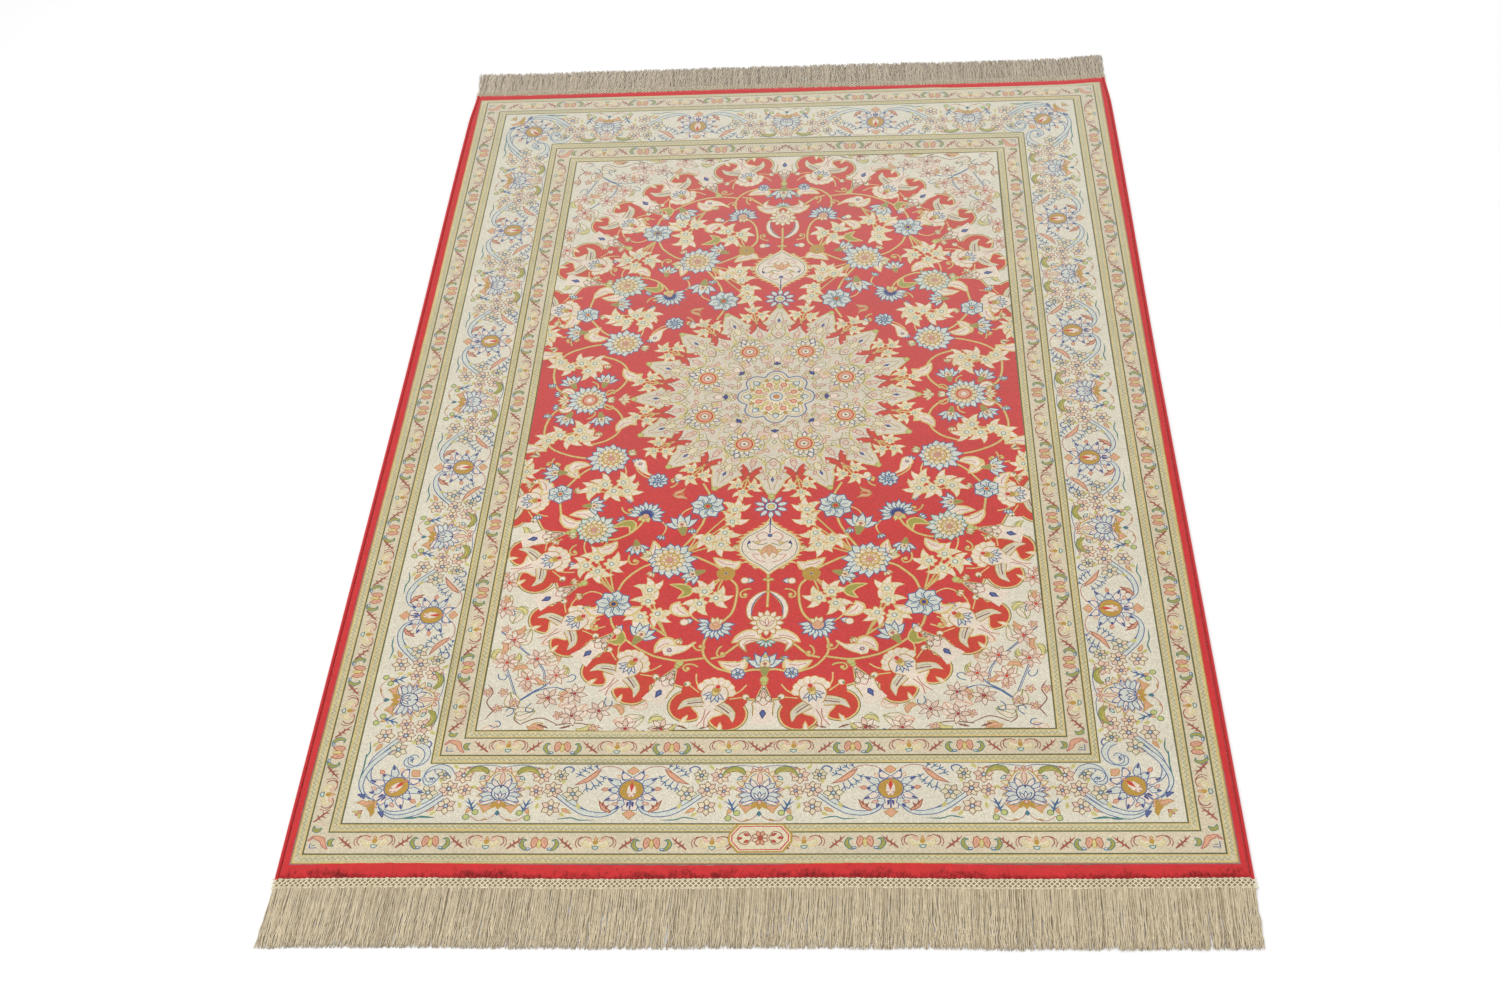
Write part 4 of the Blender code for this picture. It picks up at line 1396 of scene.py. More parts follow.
def knot_pile(names, chart, unwrap, middle=(0.0, 0.0), lift=0.0):
    """One piece of pile for each zone of a chart, mirrored to the four quarters round its middle."""
    dyes = bpy.context.scene.rug_dyes
    spots, faces = clean_quarter(chart)
    pieces = []
    for zone, name in enumerate(names):
        points, triangles, colours, sheet = [], [], [], []
        known = {}
        for side in (1, -1):
            for end in (1, -1):
                for corners, dye, where in faces:
                    if where != zone:
                        continue
                    triangle = []
                    for k in corners:
                        spot = (round(side * spots[k][0], 3) + 0.0, round(end * spots[k][1], 3) + 0.0)
                        if spot not in known:
                            known[spot] = len(points)
                            x, y = pattern_point(spot[0] + middle[0], spot[1] + middle[1])
                            points.append((x, y, pile_height(x, y) + lift))
                        triangle.append(known[spot])
                    step = 1 if side * end > 0 else -1
                    if len(set(triangle)) < 3:
                        continue
                    triangles.append(triangle[::step])
                    colours.append(tuple(getattr(dyes, dye)))
                    sheet.append([unwrap(side, end, *spots[k]) for k in corners][::step])
        mesh = bpy.data.meshes.new(name)
        mesh.from_pydata(points, [], triangles)
        tint = mesh.color_attributes.new("dye", "FLOAT_COLOR", "CORNER")
        tint.data.foreach_set("color", [c for colour in colours for c in 3 * (*colour, 1.0)])
        flat = mesh.uv_layers.new(name="OFBake")
        flat.data.foreach_set("uv", [c for corners in sheet for uv in corners for c in uv])
        piece = bpy.data.objects.new(name, mesh)
        bpy.context.collection.objects.link(piece)
        pieces.append(piece)
    return pieces


def flat_unwrap(half_width, half_length):
    """A map for a middle piece: seen from above, to the edges of the picture."""
    def unwrap(side, end, x, y):
        return 0.5 + 0.495 * side * x / half_width, 0.5 + 0.495 * end * y / half_length
    return unwrap


def strip_unwrap(inner, outer):
    """A map for a ring: its eight half strips one above the other, the corners with the end strips."""
    (x0, y0), (x1, y1) = BANDS[inner], BANDS[outer]
    reach = max(x1, y0)

    def unwrap(side, end, x, y):
        at_end = y >= y0
        across = (y - y0) / (y1 - y0) if at_end else (x - x0) / (x1 - x0)
        along = (x if at_end else y) / reach
        row = (side > 0) + 2 * (end > 0) + 4 * at_end
        return 0.005 + 0.99 * along, (row + 0.04 + 0.92 * across) / 8
    return unwrap


def finish_piece(piece, slot, material, *nodes):
    """Hangs a finished piece on the frame."""
    piece.data.materials.clear()
    piece.data.materials.append(material)
    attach(piece, BODY)
    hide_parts(*nodes)
    return piece


# === Node trees ===
class Value:
    """A number or vector socket whose sums add nodes."""

    def __init__(self, net, socket):
        self.net, self.socket = net, socket

    def maths(self, operation, other, swap=False):
        """This value and another through one Math node."""
        values = (other, self) if swap else (self, other)
        return self.net.node("ShaderNodeMath", *values, operation=operation)

    def __add__(self, other):
        return self.maths("ADD", other)

    __radd__ = __add__

    def __mul__(self, other):
        return self.maths("MULTIPLY", other)

    def __sub__(self, other):
        return self.maths("SUBTRACT", other)

    def __rsub__(self, other):
        return self.maths("SUBTRACT", other, swap=True)

    def __pow__(self, other):
        return self.maths("POWER", other)


class Tree:
    """A node tree whose nodes are added as values."""

    def node(self, kind, *values, output=0, **named):
        """A node of a type: settings by their small-letter names, sockets by order or by name."""
        node = self.tree.nodes.new(kind)
        sockets = dict(enumerate(values))
        for name, value in named.items():
            if name[0].isupper():
                sockets[name.replace("_", " ")] = value
            else:
                setattr(node, name, value)
        for key, value in sockets.items():
            self.feed(node.inputs[key], value)
        return Value(self, node.outputs[output])

    def feed(self, socket, value):
        """Links a value to a socket, or sets its constant."""
        if isinstance(value, Value):
            self.tree.links.new(value.socket, socket)
        else:
            socket.default_value = value

    def noise(self, place, scale, detail=2.0, **named):
        """Soft noise from 0 to 1."""
        return self.node("ShaderNodeTexNoise", Vector=place, Scale=scale, Detail=detail, **named)


# === Materials ===
class Net(Tree):
    """The node tree of one new material, with its shader."""

    def __init__(self, name):
        self.material = bpy.data.materials.new(name)
        self.material.use_nodes = True
        self.tree = self.material.node_tree
        self.shader = self.tree.nodes["Principled BSDF"]

    def set(self, **named):
        """The shader's own sockets."""
        for name, value in named.items():
            self.feed(self.shader.inputs[name.replace("_", " ")], value)

    def place(self, x=1.0, y=1.0, z=1.0):
        """The object's own coordinates, stretched."""
        spot = self.node("ShaderNodeTexCoord", output="Object")
        return self.node("ShaderNodeVectorMath", spot, (x, y, z), operation="MULTIPLY")

    def mix(self, share, low, high, blend="MIX"):
        """Two colours mixed by a share."""
        node = self.tree.nodes.new("ShaderNodeMix")
        node.data_type = "RGBA"
        node.blend_type = blend
        for socket, value in ((node.inputs[0], share), (node.inputs[6], low), (node.inputs[7], high)):
            self.feed(socket, value)
        return Value(self, node.outputs[2])

    def toned(self, colour, tone):
        """A colour made darker or lighter by a grey tone."""
        return self.mix(1.0, colour, self.node("ShaderNodeCombineColor", tone, tone, tone), "MULTIPLY")

    def held(self, value, factor=1.0):
        """A value times a factor, held from 0 to 1."""
        return self.node("ShaderNodeMath", value, factor, operation="MULTIPLY", use_clamp=True)

    def attribute(self, name, output="Fac"):
        """A mesh attribute."""
        return self.node("ShaderNodeAttribute", output=output, attribute_name=name)

    def bump(self, height, distance, strength):
        """Relief on the surface."""
        self.set(Normal=self.node("ShaderNodeBump", Strength=strength, Distance=distance, Height=height))


def paint(red, green, blue):
    """A colour socket's value."""
    return (red, green, blue, 1.0)


def knots(net, knot):
    """A number from 0 to 1 for each knot."""
    cell = net.node("ShaderNodeVectorMath", net.place(1.0 / knot, 1.0 / knot, 0.0), operation="FLOOR")
    return net.node("ShaderNodeTexWhiteNoise", noise_dimensions="2D", Vector=cell)


def pile_material(name, knot):
    """Cut silk pile: the dye of each shape, knot by knot, with the soft bands of a hand-dyed yarn, and a
    painted sheen that pales it towards the back end.
    """
    net = Net(name)
    grain = knots(net, knot)
    abrash = net.noise(net.place(0.6, 14.0, 0.0), 2.0)
    drift = net.noise(net.place(), 9.0)
    clump = net.noise(net.place(), 420.0, 1.0)
    wisp = net.noise(net.place(1.0, 2.2), 260.0)
    tone = (0.58 + grain * 0.22) * (0.90 + abrash * 0.20) * (0.92 + drift * 0.16) * (0.84 + clump * 0.32)
    colour = net.toned(net.attribute("dye", "Color"), tone)
    colour = net.mix(wisp * 0.07, colour, paint(0.62, 0.54, 0.42))
    # Painted sheen: up to 12 % of a pale grey-blue is mixed in towards the back end, standing in for the
    # silk's sheen seen at a low angle.
    along = net.node("ShaderNodeSeparateXYZ", net.place(), output="Y")
    colour = net.mix(net.held(along + 0.25, 0.12), colour, paint(0.66, 0.74, 0.72))
    net.set(Base_Color=colour, Roughness=0.72, Sheen_Weight=0.14, Sheen_Roughness=0.45,
            Sheen_Tint=paint(1.0, 0.93, 0.88), Specular_IOR_Level=0.25)
    net.bump(grain * 0.6 + wisp * 0.6, 0.0004, 0.5)
    return net.material


def edge_material(name, knot, colour, dark):
    """The plain red pile round the edge: brushed lines, and painted shade as dark streaks towards the rim
    where the pile leans over, strongest at the front.
    """
    net = Net(name)
    grain = knots(net, knot)
    streak = net.noise(net.place(1.0, 1.6), 36.0, 4.0, Roughness=0.6)
    brushed = net.noise(net.place(), 120.0)
    fine = net.noise(net.place(1.0, 0.6), 260.0)
    hair = net.noise(net.place(1.0, 0.3), 620.0, 1.0)
    # Painted shade: the edge darkens towards its rim in streaks, weighted by how far the pile leans over
    # there, where the rolled-over nap falls into shade.
    lean = net.attribute("lean")
    shadow = net.attribute("reach") - 0.52 + (streak - 0.5) * 2.2 + (fine - 0.5) * 1.0 + (hair - 0.5) * 0.8
    shadow = net.held(shadow * 1.5) * lean * lean
    body = net.toned(paint(*colour), (0.86 + grain * 0.14) * (0.84 + brushed * 0.32))
    net.set(Base_Color=net.mix(net.held(shadow), body, paint(*dark)), Roughness=0.68, Sheen_Weight=0.35,
            Sheen_Roughness=0.4, Sheen_Tint=paint(1.0, 0.80, 0.76), Specular_IOR_Level=0.25)
    net.bump(brushed + grain * 0.4, 0.0006, 0.7)
    return net.material


def yarn_material(name, light, dark):
    """Twisted yarn: a tone in each strand by its strand number, a little lighter towards the tips, and a
    fine twist. In the fringe that number also sets how high a strand lies, so the lower strands get painted
    shade; in the plait it is a random tone.
    """
    net = Net(name)
    fuzz = net.noise(net.place(), 320.0)
    patch = net.noise(net.place(2.4), 120.0)
    # Painted shade in the fringe: strands with a low number lie lower and are mixed towards the dark colour;
    # in the plait the number is random.
    share = (1.0 - net.attribute("strand")) * 0.66 + (patch - 0.5) * 0.55 + fuzz * 0.35
    share = net.held(share - net.attribute("along") * 0.05 + 0.08)
    net.set(Base_Color=net.mix(share, paint(*light), paint(*dark)), Roughness=0.75, Sheen_Weight=0.3,
            Sheen_Roughness=0.5, Specular_IOR_Level=0.2)
    net.bump(net.noise(net.place(1.0, 0.4), 900.0, 1.0), 0.0003, 0.6)
    return net.material


def plain_yarn_material(name, light, dark):
    """Close-laid yarn with no strands of its own: wraps and the foundation's side."""
    net = Net(name)
    patch = net.noise(net.place(1.0, 3.0), 140.0, 3.0)
    net.set(Base_Color=net.mix(patch, paint(*light), paint(*dark)), Roughness=0.7, Sheen_Weight=0.2,
            Specular_IOR_Level=0.25)
    net.bump(net.noise(net.place(1.0, 6.0), 420.0, 1.0), 0.0003, 0.6)
    return net.material


def floor_material(name, colour):
    """A matt studio floor, a little mottled."""
    net = Net(name)
    darker = paint(*(0.97 * channel for channel in colour))
    net.set(Base_Color=net.mix(net.noise(net.place(), 3.0), paint(*colour), darker), Roughness=0.9,
            Specular_IOR_Level=0.1)
    return net.material


# === Geometry Nodes ===
class Grower(Tree):
    """A Geometry Nodes tree with named inputs, and the plain mesh that it grows."""

    def __init__(self, name):
        self.tree = bpy.data.node_groups.new(name, "GeometryNodeTree")
        for way in ("INPUT", "OUTPUT"):
            self.tree.interface.new_socket("Geometry", in_out=way, socket_type="NodeSocketGeometry")
        self.start = self.tree.nodes.new("NodeGroupInput")
        self.given = {}

    def size(self, name, value, kind="NodeSocketFloat"):
        """A named input of the tree."""
        self.tree.interface.new_socket(name, in_out="INPUT", socket_type=kind)
        self.given[name] = value
        return Value(self, self.start.outputs[name])

    def seed(self, number):
        """The fixed seed of what is random."""
        return self.size("Seed", number, "NodeSocketInt")

    def path(self, pitch):
        """The line that the tree starts from, cut into even steps."""
        line = self.node("GeometryNodeMeshToCurve", Value(self, self.start.outputs["Geometry"]))
        return self.node("GeometryNodeResampleCurve", line, mode="LENGTH", Length=pitch)

    def vector(self, *numbers):
        """A vector of three numbers."""
        return self.node("ShaderNodeCombineXYZ", *numbers)

    def turn(self, angle):
        """A rotation about the upright."""
        return self.node("FunctionNodeEulerToRotation", self.vector(0.0, 0.0, angle))

    def spread(self, low, high, seed):
        """A random number for each element."""
        node = self.tree.nodes.new("FunctionNodeRandomValue")
        node.data_type = "FLOAT"
        for key, value in ((2, low), (3, high), (8, seed)):
            self.feed(node.inputs[key], value)
        return Value(self, node.outputs[1])

    def store(self, geometry, domain, name, value):
        """The geometry with a value kept under a name."""
        return self.node("GeometryNodeStoreNamedAttribute", geometry, data_type="FLOAT", domain=domain,
                         Name=name, Value=value)

    def profile(self, sides, thickness):
        """The outline of a round cord."""
        return self.node("GeometryNodeCurvePrimitiveCircle", mode="RADIUS", Resolution=sides,
                         Radius=thickness * 0.5)

    def grow(self, name, path, shape, material):
        """Runs the tree on a path and leaves its result as a plain mesh object."""
        real = self.node("GeometryNodeRealizeInstances", shape)
        painted = self.node("GeometryNodeSetMaterial", real, Material=material)
        self.feed(self.tree.nodes.new("NodeGroupOutput").inputs["Geometry"], painted)
        seedling = bpy.data.objects.new(name + "_path", path)
        bpy.context.collection.objects.link(seedling)
        grower = seedling.modifiers.new("grower", "NODES")
        grower.node_group = self.tree
        for item in self.tree.interface.items_tree:
            if item.item_type == "SOCKET" and item.name in self.given:
                grower[item.identifier] = self.given[item.name]
        graph = bpy.context.evaluated_depsgraph_get()
        graph.update()
        mesh = bpy.data.meshes.new_from_object(seedling.evaluated_get(graph), depsgraph=graph)
        seedling.modifiers.remove(grower)
        bpy.data.objects.remove(seedling)
        mesh.name = name
        piece = bpy.data.objects.new(name, mesh)
        bpy.context.collection.objects.link(piece)
        return piece


def path_mesh(name, points):
    """A line of edges through the points."""
    mesh = bpy.data.meshes.new(name)
    mesh.from_pydata(points, [(k, k + 1) for k in range(len(points) - 1)], [])
    return mesh


# === The pieces ===
LEVEL_FLOOR = 0.0
FOUNDATION_CELLS = (44, 64)
FOUNDATION_INSET = 0.0012
EDGE_PITCH = 0.003
EDGE_ROWS = (
    # share of the way from the pattern to the rim, drop below the pile's face in metres
    (0.00, 0.0),
    (0.16, 0.0),
    (0.34, 0.0),
    (0.52, 0.0),
    (0.68, 0.0001),
    (0.80, 0.0003),
    (0.89, 0.0007),
    (0.955, 0.0013),
    (1.00, 0.0022),
    (1.005, 0.0040),
)
# How far the pile leans over the rim on each side: it sets how ragged the rim is and how strongly the
# painted shade darkens the edge.
LEAN = {"front": 1.0, "right": 0.36, "left": 0.28, "back": 0.2}
RIM_RAG = 0.0007


def grid_faces(columns, rows, flip=False, start=0, closed=False):
    """Quads of a grid whose points run row by row."""
    faces = []
    last = columns if closed else columns - 1
    for j in range(rows - 1):
        for i in range(last):
            k = (i + 1) % columns
            quad = [start + j * columns + i, start + j * columns + k,
                    start + (j + 1) * columns + k, start + (j + 1) * columns + i]
            faces.append(quad[::-1] if flip else quad)
    return faces


def new_piece(name, points, faces):
    """A mesh object at the origin."""
    mesh = bpy.data.meshes.new(name)
    mesh.from_pydata(points, [], faces)
    piece = bpy.data.objects.new(name, mesh)
    bpy.context.collection.objects.link(piece)
    return piece


def foundation(pile):
    """The closed slab of warps and wefts that carries the pile."""
    columns, rows = FOUNDATION_CELLS[0] + 1, FOUNDATION_CELLS[1] + 1
    top, under = [], []
    for j in range(rows):
        for i in range(columns):
            u, v = 2.0 * i / (columns - 1) - 1.0, j / (rows - 1)
            shrink = 1.0 - FOUNDATION_INSET / FRONT_HALF_WIDTH
            x, y = cloth_point(u * shrink, 0.5 + (v - 0.5) * shrink)
            top.append((x, y, pile_height(x, y) - pile))
            under.append((x, y, LEVEL_FLOOR))
    count = columns * rows
    faces = grid_faces(columns, rows) + grid_faces(columns, rows, True, count)
    rim = [*range(columns)] + [j * columns + columns - 1 for j in range(1, rows)]
    rim += [(rows - 1) * columns + i for i in range(columns - 2, -1, -1)]
    rim += [j * columns for j in range(rows - 2, 0, -1)]
    for a, b in zip(rim, rim[1:] + rim[:1]):
        faces.append([a, a + count, b + count, b])
    return new_piece("rug_foundation", top + under, faces)


def edge_runs():
    """The four sides of the red edge: its name, and the inner and outer point at a share of its length."""
    side, end = BANDS["fourth_stripe"]
    return (
        ("front", lambda s: (pattern_point(side * (2 * s - 1), -end), cloth_point(2 * s - 1, 0.0))),
        ("right", lambda s: (pattern_point(side, end * (2 * s - 1)), cloth_point(1.0, s))),
        ("back", lambda s: (pattern_point(side * (1 - 2 * s), end), cloth_point(1 - 2 * s, 1.0))),
        ("left", lambda s: (pattern_point(-side, end * (1 - 2 * s)), cloth_point(-1.0, 1 - s))),
    )


def red_edge():
    """The plain red pile from the last stripe to the rim, rounded over and down the side."""
    chance = random.Random(11)
    across, lean = [], []
    lengths = {"front": 1.0, "back": 1.0, "left": CLOTH_LENGTH, "right": CLOTH_LENGTH}
    for name, line in edge_runs():
        count = int(lengths[name] / EDGE_PITCH)
        for k in range(count):
            (x0, y0), (x1, y1) = line(k / count)
            rag = RIM_RAG * LEAN[name] * chance.uniform(-1.0, 0.6)
            reach = math.hypot(x1 - x0, y1 - y0)
            across.append((x0, y0, x1 + rag * (x1 - x0) / reach, y1 + rag * (y1 - y0) / reach))
            lean.append(LEAN[name])
    points, reaches, leans = [], [], []
    for share, drop in EDGE_ROWS:
        for (x0, y0, x1, y1), amount in zip(across, lean):
            x, y = x0 + share * (x1 - x0), y0 + share * (y1 - y0)
            points.append((x, y, pile_height(x, y) - drop))
            reaches.append(min(1.0, share))
            leans.append(amount)
    columns = len(across)
    piece = new_piece("red_edge", points, grid_faces(columns, len(EDGE_ROWS), True, 0, True))
    for name, values in (("reach", reaches), ("lean", leans)):
        piece.data.attributes.new(name, "FLOAT", "POINT").data.foreach_set("value", values)
    flat = piece.data.uv_layers.new(name="OFBake")
    per_row = -(-columns // 4)
    for polygon in piece.data.polygons:
        first = min(v % columns for v in polygon.vertices)
        wraps = max(v % columns for v in polygon.vertices) - first > 1
        start = columns - 1 if wraps else first
        for loop in polygon.loop_indices:
            vertex = piece.data.loops[loop].vertex_index
            i, j = vertex % columns, vertex // columns
            i = columns if wraps and i == 0 else i
            row = start // per_row
            flat.data[loop].uv = ((i - row * per_row) / per_row * 0.99 + 0.005,
                                  (row + 0.05 + 0.9 * j / (len(EDGE_ROWS) - 1)) / 4)
    for polygon in piece.data.polygons:
        polygon.use_smooth = True
    return piece


TUFT_LINE_STEPS = 60
TUFT_ROOT_SHARE = 0.93
TUFT_ROOT_DROP = 0.0013


def rim_tufts(material):
    """Short tufts that stand out of the red edge along its rim."""
    path = []
    for _, line in edge_runs():
        for k in range(TUFT_LINE_STEPS):
            (x0, y0), (x1, y1) = line(k / TUFT_LINE_STEPS)
            path.append((x0 + TUFT_ROOT_SHARE * (x1 - x0), y0 + TUFT_ROOT_SHARE * (y1 - y0),
                         CLOTH_THICKNESS - TUFT_ROOT_DROP))
    path.append(path[0])
    net = Grower("rim_tufts_rule")
    pitch = net.size("Tuft pitch", 0.0012)
    length = net.size("Tuft length", 0.0026)
    width = net.size("Tuft width", 0.0007)
    seed = net.seed(5)
    line = net.path(pitch)
    tuft = net.node("GeometryNodeMeshCone", fill_type="NONE", Vertices=3, Side_Segments=1,
                    Radius_Top=0.00012, Radius_Bottom=width, Depth=length)
    tangent = net.node("GeometryNodeInputTangent")
    outward = net.node("ShaderNodeVectorMath", tangent, (0.0, 0.0, 1.0), operation="CROSS_PRODUCT")
    stray = net.vector(net.spread(-0.5, 0.5, seed), net.spread(-0.5, 0.5, seed),
            net.spread(-0.25, 0.6, seed))
    aim = net.node("ShaderNodeVectorMath", outward, stray, operation="ADD")
    turn = net.node("FunctionNodeAlignRotationToVector", axis="Z", Vector=aim)
    tufts = net.node("GeometryNodeInstanceOnPoints", line, Instance=tuft, Rotation=turn,
                     Scale=net.spread(0.5, 1.0, seed))
    return net.grow("rim_tufts", path_mesh("rim_line", path), tufts, material)


LINE_STEPS = 120


def selvedge(name, side, pitch, material):
    """The yarn wrapped round one side's cord, from end to end."""
    path = []
    for k in range(LINE_STEPS + 1):
        v = k / LINE_STEPS
        y = FRONT_END_Y + v * CLOTH_LENGTH
        x = side * (outer_half_width(y) - SELVEDGE_WIDTH / 2)
        path.append((x, y + end_drift(x, v), SELVEDGE_HEIGHT / 2))
    net = Grower(name + "_rule")
    step = net.size("Wrap pitch", pitch)
    width = net.size("Cord width", SELVEDGE_WIDTH)
    height = net.size("Cord height", SELVEDGE_HEIGHT)
    seed = net.seed(3 if side > 0 else 4)
    wrap = net.node("GeometryNodeMeshUVSphere", Segments=8, Rings=5, Radius=0.5)
    wrap = net.node("GeometryNodeTransform", wrap, Scale=net.vector(width, step * 1.5, height))
    turn = net.turn(net.spread(0.24 * side, 0.42 * side, seed))
    wraps = net.node("GeometryNodeInstanceOnPoints", net.path(step), Instance=wrap, Rotation=turn)
    wraps = net.node("GeometryNodeSetShadeSmooth", wraps)
    return net.grow(name, path_mesh(name + "_line", path), wraps, material)


# The two ends: which way they run, the strands' reach beyond the header, and how they lie.
ENDS = {
    "front": {"out": -1, "y": FRONT_END_Y, "wander": front_wander, "tip": -0.831, "rag": 0.065,
              "lean": -0.035, "stray": 0.040, "swing": 0.0021, "seed": 21},
    "back": {"out": 1, "y": BACK_END_Y, "wander": back_wander, "tip": 0.831, "rag": 0.16,
             "lean": 0.02, "stray": 0.11, "swing": 0.0034, "seed": 34},
}
HEADER_INSET = 0.0015
STRAND_STEPS = 8
YARN_LAYERS = 3


def header_line(end, depth, height):
    """Points along a header, a depth outwards from the cloth's end."""
    plan = ENDS[end]
    y_end = plan["y"]
    half = outer_half_width(y_end) - HEADER_INSET
    points = []
    for k in range(LINE_STEPS + 1):
        x = half * (2.0 * k / LINE_STEPS - 1.0)
        points.append((x, y_end + plan["wander"](x) + plan["out"] * depth, height))
    return points


def header_base(end):
    """The flat strip of gathered warps under a header's plait, coloured dark as painted shade in the gaps
    between its cords.
    """
    out = ENDS[end]["out"]
    section = ((SEAM_GAP, 0.0), (SEAM_GAP, 0.0021), (HEADER_DEPTH * 0.45, 0.0024),
               (HEADER_DEPTH, 0.0019), (HEADER_DEPTH + 0.002, 0.0))
    rows = [header_line(end, depth, height) for depth, height in section]
    columns = len(rows[0])
    points = [point for row in rows for point in row]
    faces = grid_faces(columns, len(rows), out < 0)
    last = (len(rows) - 1) * columns
    bottom = [*range(columns), *range(last + columns - 1, last - 1, -1)]
    faces.append(bottom if out > 0 else bottom[::-1])
    for k in (0, columns - 1):
        cap = [j * columns + k for j in range(len(rows))]
        faces.append(cap if (k == 0) == (out > 0) else cap[::-1])
    return new_piece(f"header_{end}_base", points, faces)


def header_plait(end, pitch, material):
    """A header's net of crossing cords, over the strip."""
    net = Grower(f"header_{end}_rule")
    step = net.size("Plait pitch", pitch)
    depth = net.size("Header depth", HEADER_DEPTH)
    thick = net.size("Cord thickness", 0.0013)
    seed = net.seed(ENDS[end]["seed"])
    profile = net.profile(4, thick)
    rows = net.node("GeometryNodeJoinGeometry")
    join = rows.socket.node.inputs[0]
    half = step * 0.5
    for row in range(2):
        top = depth * (row / 2 - 0.5)
        bottom = depth * ((row + 1) / 2 - 0.5)
        for slant in (1, -1):
            reach = half * slant
            back = half * -slant
            lift = 0.0004 * slant
            bar = net.node("GeometryNodeCurvePrimitiveBezierSegment", mode="POSITION", Resolution=4,
                           Start=net.vector(back, top, 0.0), Start_Handle=net.vector(back, top, lift),
                           End_Handle=net.vector(reach, bottom, lift), End=net.vector(reach, bottom, 0.0))
            net.feed(join, net.node("GeometryNodeCurveToMesh", bar, Profile_Curve=profile))
    bead = net.node("GeometryNodeMeshUVSphere", Segments=6, Rings=4, Radius=0.5)
    for place, size in ((-0.5, 0.9), (0.5, 0.8)):
        net.feed(join, net.node("GeometryNodeTransform", bead,
                Translation=net.vector(0.0, depth * place, 0.0),
                Scale=net.vector(step * size, 0.0018, 0.0016)))
    turn = net.turn(net.spread(-0.08, 0.08, seed))
    links = net.node("GeometryNodeInstanceOnPoints", net.path(step), Instance=rows, Rotation=turn,
                     Scale=net.spread(0.92, 1.06, seed))
    links = net.store(links, "INSTANCE", "strand", net.spread(0.0, 0.6, seed))
    links = net.node("GeometryNodeSetShadeSmooth", links)
    middle = path_mesh(f"header_{end}_line", header_line(end, SEAM_GAP + HEADER_DEPTH / 2, 0.0024))
    return net.grow(f"header_{end}_plait", middle, links, material)


def fringe(end, pitch, thick, material):
    """An end's loose yarns: close-set, a little wavy, gathered at random, resting on the floor."""
    plan = ENDS[end]
    net = Grower(f"fringe_{end}_rule")
    step = net.size("Yarn pitch", pitch)
    width = net.size("Yarn thickness", thick)
    reach = net.size("Reach", abs(plan["tip"] - plan["y"]) - HEADER_DEPTH + 0.001)
    seed = net.seed(plan["seed"])
    rag = net.size("Raggedness", plan["rag"])
    stray = net.size("Stray", plan["stray"])
    swing = net.size("Swing", plan["swing"])
    strand = net.node("GeometryNodeCurvePrimitiveLine", mode="POINTS", End=(0.0, plan["out"], 0.0))
    strand = net.node("GeometryNodeResampleCurve", strand, mode="COUNT", Count=STRAND_STEPS)
    lock = net.noise(net.node("GeometryNodeInputPosition"), 14.0)
    bay = rag * 1.3 * lock
    length = reach * (1.0 - (rag * net.spread(0.0, 1.0, seed) + bay * 0.7))
    gather = (lock - 0.5) * (stray * 0.8)
    lean = net.spread(-1.0, 1.0, seed + 7.0) * stray + (gather + plan["lean"])
    yarns = net.node("GeometryNodeInstanceOnPoints", net.path(step), Instance=strand,
                     Rotation=net.turn(lean), Scale=net.vector(1.0, length, 1.0))
    # A strand's number sets how high it lies, and the yarn material paints the lower strands darker as
    # painted shade.
    yarns = net.store(yarns, "INSTANCE", "strand", net.spread(0.0, 1.0, seed + 3.0))
    yarns = net.node("GeometryNodeRealizeInstances", yarns)
    along = net.node("GeometryNodeSplineParameter")
    tone = net.node("GeometryNodeInputNamedAttribute", "strand", data_type="FLOAT")
    place = net.node("GeometryNodeInputPosition")
    spot = net.node("ShaderNodeVectorMath", place, net.vector(tone * 3.0, 0.0, 0.0), operation="ADD")
    sway = (net.noise(spot, 42.0) - 0.5) * (swing * 5.0) * along ** 0.6
    frizz = (net.noise(spot, 110.0, 1.0) - 0.5) * (swing * 3.4)
    sway = sway + frizz * along ** 0.8
    height = width * 0.5 + tone * width * 1.3 + (1.0 - along ** 0.35) * 0.0008
    x, y = (net.node("ShaderNodeSeparateXYZ", place, output=axis) for axis in "XY")
    yarns = net.node("GeometryNodeSetPosition", yarns, Position=net.vector(x + sway, y, height))
    yarns = net.store(yarns, "POINT", "along", along)
    taper = 1.0 - along ** 8.0 * 0.30
    body = net.node("GeometryNodeCurveToMesh", yarns, Profile_Curve=net.profile(3, width), Scale=taper,
                    Fill_Caps=True)
    body = net.node("GeometryNodeSetShadeSmooth", body)
    root = path_mesh(f"fringe_{end}_line", header_line(end, HEADER_DEPTH - 0.001, 0.0))
    return net.grow(f"fringe_{end}_yarns", root, body, material)


# === Colours of the plain yarns ===
EDGE_RED = screen(196, 46, 48)
# The dark red of the painted shade on the edge's rim.
EDGE_SHADE = screen(112, 4, 10)
WRAP_RED = screen(202, 48, 50)
WRAP_DARK = screen(174, 34, 38)
FOUNDATION_LIGHT = screen(222, 208, 172)
FOUNDATION_DARK = screen(196, 180, 140)
# The back end's fringe and plait are the same warps as the front's, given darker, greyer colours as painted
# shade on the back end.
YARN_LIGHT = {"front": screen(234, 218, 186), "back": screen(220, 207, 184)}
YARN_DARK = {"front": screen(138, 120, 88), "back": screen(118, 100, 78)}
PLAIT_LIGHT = {"front": screen(240, 232, 206), "back": screen(226, 218, 196)}
PLAIT_DARK = {"front": screen(222, 210, 178), "back": screen(196, 186, 160)}
# Painted shade: the dark colours of the strip under the plait, which shows in the gaps between the cords.
PLAIT_GAP_SHADE = {"front": (screen(146, 130, 98), screen(112, 98, 70)),
             "back": (screen(140, 126, 98), screen(108, 96, 72))}


